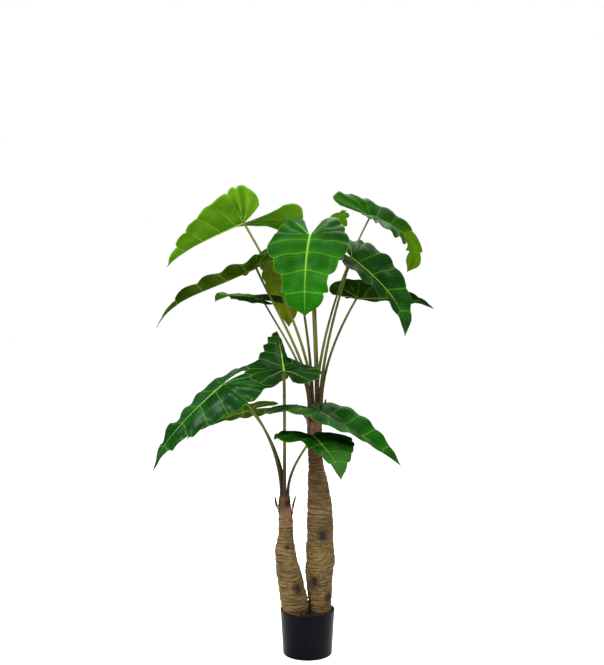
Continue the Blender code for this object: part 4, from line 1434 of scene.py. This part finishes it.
LEAVES: dict[str, Leaf] = {
    "a": Leaf((-0.207, 0.050, 1.381), (-0.485, 0.230, 1.251), Half((62, 46, 38), -5, 0.57, 0.3, width=0.78),
              Half((-30, 25, 30), -10, 0.95, width=1.05, ruffle=0.2), (-0.50, 0.15, 0.86), (INNER_RING, 180),
              Tone.LIT_LIME, bow=0.03, hook=0.02, lobe_bend=2.6, skin=Skin(0.10, 0.012, 0.003)),
    "b": Leaf((-0.166, 0.032, 1.233), (-0.482, -0.008, 1.039), Half((26, 22, 28), lobe=0.7),
              Half((15, 15, 20), lobe=0.8), (-0.40, 0.05, 0.90), (OUTER_RING, 219), Tone.SHADED_BRONZE, bow=0.03,
              hook=0.06, skin=Skin(0.12, 0.022, 0.006), drip=0.8),
    "c": Leaf((0.007, -0.120, 1.322), (-0.009, -0.210, 1.073),
              Half((12, 10, 15), -20, 0.7, trim=-0.3, width=0.93),
              Half((12, 10, 15), -20, 0.7, trim=-0.3, width=0.93), (-0.03, -0.40, 0.92), (INNER_RING, 300),
              Tone.FRESH, bow=0.14, hook=0.0, lobe_bend=-2.0, splay=0.04, drip=-0.9,
              skin=Skin(0.05, 0.012, 0.006, rib=1.4)),
    "d": Leaf((-0.038, 0.240, 1.269), (-0.065, 0.380, 1.044), Half((10, 10, 10), lobe=0.5, width=1.1),
              Half((10, 10, 10), lobe=0.4), (-0.14, 0.40, 0.91), (OUTER_RING, 116), Tone.OLIVE, bow=0.12,
              skin=Skin(0.07, 0.010, 0.006)),
    "e": Leaf((-0.149, 0.135, 1.133), (-0.330, 0.340, 1.135), Half((5, 5, 10), -10, 0.7),
              Half((10, 10, 10), -10, 0.7), (-0.45, 0.35, 0.82), (OUTER_RING, 167), Tone.DUSK, bow=0.04,
              lobe_bend=-1.0, stout=0.8, skin=Skin(0.05, 0.006, 0.004)),
    "f": Leaf((0.026, 0.160, 1.351), (0.027, 0.460, 1.357), Half((0, 0, 0), lobe=0.7),
              Half((55, 20, 0), 0, 0.6, width=1.1), (0.05, 0.30, 0.95), (OUTER_RING, 64), Tone.LIT_LIME, bow=0.03,
              hook=0.0, lobe_bend=0.0, spiky=True),
    "g": Leaf((0.213, 0.160, 1.415), (0.343, 0.200, 1.232), Half((80, 40, 40), lobe=0.9, trim=0.25, ruffle=0.35),
              Half((-20, 0, 10), lobe=0.35, ruffle=0.5), (0.45, 0.38, 0.81), (INNER_RING, 60), Tone.RUFFLED,
              bow=0.22, hook=0.12, twist=-60.0, lobe_bend=-1.0, stout=0.8, drip=-1.0,
              spiky=True, skin=Skin(0.08, 0.026, 0.012)),
    "h": Leaf((0.140, 0.000, 1.263), (0.309, -0.030, 1.013), Half((20, 46, 44), -10, 0.35, width=1.05),
              Half((-10, -12, -20), -10, 0.4, width=0.85), (0.30, 0.00, 0.95), (OUTER_RING, 321), Tone.NIGHT,
              bow=0.09, skin=Skin(0.06, 0.014, 0.006, rib=2.2)),
    "i": Leaf((0.170, 0.190, 1.142), (0.440, 0.240, 1.106), Half((25, 5, -5), lobe=0.3),
              Half((50, 32, 5), lobe=0.7), (0.50, 0.25, 0.83), (OUTER_RING, 13), Tone.SHADE, bow=0.04,
              lobe_bend=-1.0, skin=Skin(0.05, 0.010, 0.006)),
    "j": Leaf((-0.071, -0.220, 0.910), (-0.100, 0.050, 1.029), Half((20, 15, 10), lobe=0.5, trim=0.35),
              Half((22, 10, 0), lobe=0.45, trim=0.85), (0.0, -0.80, 0.60), (SHORT_RING, 270),
              Tone.FOREST, Crown.SHORT, bow=0.04, hook=0.0, stout=1.25, skin=Skin(0.10, 0.012, 0.012, rib=1.2)),
    "k": Leaf((-0.262, -0.130, 0.864), (-0.462, -0.200, 0.608), Half((-22, -30, -15), lobe=1.25, trim=0.15, width=0.9),
              Half((7, 10, 6), trim=0.15), (-0.88, -0.25, 0.40), (SHORT_RING, 180), Tone.GLOSSY, Crown.SHORT,
              bow=0.05, hook=0.03, lobe_bend=-4.0, drip=0.3, skin=Skin(0.07, 0.018, 0.005, rib=1.3)),
    "l": Leaf((-0.186, 0.020, 0.774), (-0.388, -0.010, 0.678), Half((10, 10, 10), lobe=0.8),
              Half((10, 10, 10), lobe=0.8), (-0.72, 0.10, 0.69), (SHORT_RING, 90), Tone.MOSS, Crown.SHORT,
              bow=0.06, roll=-20.0, skin=Skin(0.06, 0.012, 0.006)),
    "m": Leaf((0.037, -0.160, 0.784), (0.278, -0.200, 0.625), Half((-20, 34, 30), -10, 0.3, width=0.86),
              Half((-8, 2, 0), -8, 1.15, ruffle=0.5), (0.10, -0.92, 0.38), (OUTER_RING, 270), Tone.JADE, bow=0.02,
              hook=0.02, lobe_bend=-5.0, skin=Skin(0.07, 0.014, 0.008, rib=1.25)),
    "n": Leaf((0.016, -0.160, 0.711), (0.090, -0.390, 0.615), Half((5, 8, 10), lobe=0.4, width=1.12),
              Half((20, 0, 0), lobe=0.45, trim=0.6, width=1.12), (0.45, -0.45, 0.77), (SHORT_RING, 0), Tone.DEEP,
              Crown.SHORT, bow=0.05, lobe_bend=-4.0, skin=Skin(0.06, 0.012, 0.009)),
}


@dataclass(frozen=True)
class Husk:
    """A dry scale that lies along the bark, tapers to a point and flares outward."""
    name: str
    trunk: Trunk
    bearing: float
    foot: float
    length: float
    width: float
    flare: float
    lean: float
    thickness: float = 0.0008
    rest: float = 0.0010
    cupping: float = 0.1
    rolled_edge: float = 0.42
    rows: int = 41
    columns: int = 15

    def build(self, material: bpy.types.Material) -> None:
        """Wrap a tapering strip round the bark.

        Its width falls with rise to the power 1.4 and ends in a point, its distance from the bark grows with the
        square of rise, and its edges curl and ripple.

        Args:
            material: The scale's finish.
        """
        rise, share = np.meshgrid(np.linspace(0.0, 1.0, self.rows), np.linspace(-1.0, 1.0, self.columns),
                                  indexing="ij")
        height = self.foot + self.length * rise
        level = np.minimum(height, self.trunk.stations[-1][2])
        x, y, _, girth = np.moveaxis(self.trunk.centre_and_radius(level), -1, 0)
        spread = self.width / 2 * (1 - 0.84 * rise**1.4 - 0.16 * rise**12) * share
        angle = np.radians(self.bearing) + (spread + self.lean * self.length * rise**2) / girth
        bark, _ = self.trunk.radius_at(angle, level, fine=False)
        ripple = (0.0007 * np.sin(share * 9.0 + rise * 4.0) * (1 - rise)
                  + 0.0006 * lattice_noise(rise * 9, share * 6 + 20, len(self.name)))
        roll = self.rolled_edge * ease(rise, 0.1, 0.5) * np.sqrt(1 - rise) + self.cupping * (1 - rise)
        curl = self.width * share**2 * roll
        radius = bark + self.thickness / 2 + self.rest + self.flare * rise**2 + curl + ripple
        middle = polar(x, y, radius, angle, height)
        middle[-1] = middle[-1, self.columns // 2]
        thick = self.thickness * (1.3 - 0.7 * np.abs(share)) * (1 + 2.9 * ease(rise, 0.2, 0.8))
        gather = Gather()
        gather.add_slab(middle, thick, np.stack([(share + 1) / 2, rise], -1))
        gather.build(self.name.replace("husk", "scale"), "husk", self.name, material)


HUSKS: tuple[Husk, ...] = (
    Husk("husk_short_left", SHORT_TRUNK, 195.0, 0.452, 0.048, 0.018, 0.012, -0.10),
    Husk("husk_short_front", SHORT_TRUNK, 285.0, 0.440, 0.058, 0.022, 0.004, 0.15),
    Husk("husk_short_right", SHORT_TRUNK, 345.0, 0.446, 0.058, 0.014, 0.019, 0.00),
    Husk("husk_tall_left", TALL_TRUNK, 215.0, 0.730, 0.066, 0.016, 0.040, -0.10),
    Husk("husk_tall_front", TALL_TRUNK, 268.0, 0.701, 0.074, 0.028, 0.003, 0.05),
    Husk("husk_tall_right", TALL_TRUNK, 356.0, 0.735, 0.075, 0.026, 0.005, 0.00),
)


@dataclass(frozen=True)
class Lamp:
    """A soft square lamp that faces the plant."""
    name: str
    place: Point
    size: float
    power: float


@dataclass(frozen=True)
class Studio:
    """The camera at the photograph's angle, a pale floor, a pale surround and soft lamps."""
    eye: Point = (-0.0176, -2.853, 1.0242)
    lens: float = 48.2
    sensor: float = 36.0
    floor_radius: float = 40.0
    floor_level: float = -0.0002
    floor_grey: float = 0.88
    floor_lift: float = 0.82
    surround: float = 0.27
    aim: Point = (0.0, 0.0, 0.80)
    lamps: tuple[Lamp, ...] = (
        Lamp("key", (-1.5, -2.0, 3.4), 1.6, 180.0),
        Lamp("fill", (2.6, -2.0, 2.0), 1.8, 42.0),
        Lamp("back", (0.6, 2.0, 3.4), 2.4, 120.0),
        Lamp("left_edge", (-2.4, 0.4, 0.5), 1.2, 9.0),
        Lamp("right_edge", (2.4, 0.5, 0.5), 1.2, 9.0),
    )

    def build(self) -> None:
        """Make the camera, the floor, the world and the lamps."""
        camera = self.add("camera", bpy.data.cameras.new("camera"))
        camera.data.lens = self.lens
        camera.data.sensor_width = self.sensor
        camera.location = self.eye
        camera.rotation_euler = (np.pi / 2, 0.0, 0.0)
        bpy.context.scene.camera = camera
        self.add_floor()
        self.add_world()
        for lamp in self.lamps:
            self.add_lamp(lamp)
        bpy.context.scene.view_settings.view_transform = "Standard"
        LOG.info("studio: %d lamps, lens %.1f mm", len(self.lamps), self.lens)

    def add(self, name: str, data: bpy.types.ID) -> bpy.types.Object:
        """Put an object in the scene.

        Args:
            name: The object's name.
            data: Its mesh, light or camera.

        Returns:
            The object.
        """
        made = bpy.data.objects.new(name, data)
        bpy.context.scene.collection.objects.link(made)
        return made

    def seen(self, w: Wiring, shed: float, shown: float) -> Value:
        """A grey: what a surface sheds on the plant, and what the camera sees of it."""
        camera_ray = w.node("LightPath", {}, "Is Camera Ray")
        return w.mix(camera_ray, (shed, shed, shed, 1.0), (shown, shown, shown, 1.0))

    def add_floor(self) -> None:
        """Lay a wide pale disc under the planter."""
        angle = circle(96)
        rim = polar(0.0, 0.0, self.floor_radius, angle, self.floor_level)
        mesh = bpy.data.meshes.new("floor")
        mesh.from_pydata(rim.tolist(), [], [tuple(range(len(rim)))])
        material = bpy.data.materials.new("pale_floor")
        material.use_nodes = True
        shader = material.node_tree.nodes["Principled BSDF"]
        pale = (self.floor_grey, self.floor_grey, self.floor_grey, 1.0)
        for name, value in (("Specular IOR Level", 0.1), ("Base Color", pale), ("Roughness", 0.9),
                            ("Emission Strength", 1.0)):
            shader.inputs[name].default_value = value
        w = Wiring(material.node_tree)
        w.feed(shader.inputs["Emission Color"], self.seen(w, 0.0, self.floor_lift))
        mesh.materials.append(material)
        self.add("floor", mesh)

    def add_world(self) -> None:
        """Surround the plant in white, which the lamps outshine: what it sheds is dimmer than what is seen of it."""
        world = bpy.data.worlds.new("surround")
        world.use_nodes = True
        w = Wiring(world.node_tree)
        background = world.node_tree.nodes["Background"]
        w.feed(background.inputs["Color"], self.seen(w, self.surround, 1.0))
        background.inputs["Strength"].default_value = 1.0
        bpy.context.scene.world = world

    def add_lamp(self, lamp: Lamp) -> None:
        """Hang a lamp and turn its -Z axis towards the aim.

        Args:
            lamp: Its name, place, size and power.
        """
        light = bpy.data.lights.new(lamp.name, "AREA")
        light.size = lamp.size
        light.energy = lamp.power
        hung = self.add(lamp.name, light)
        hung.location = lamp.place
        hung.rotation_euler = (Vector(self.aim) - Vector(lamp.place)).to_track_quat("-Z", "Y").to_euler()


def main() -> None:
    """Build the plant and the studio round it."""
    logging.basicConfig(level=logging.INFO, format="%(message)s")
    planter = Planter()
    planter.build()
    planter.build_filler()
    SHORT_TRUNK.build()
    TALL_TRUNK.build()
    stem = StemFinish().material()
    tones = {tone: tone.materials() for tone in Tone}
    for label, leaf in LEAVES.items():
        Petiole(label, leaf).build(stem)
        Blade(label, leaf).build(tones[leaf.tone])
    husk = HuskFinish().material()
    for scale in HUSKS:
        scale.build(husk)
    Studio().build()


if __name__ == "__main__":
    main()
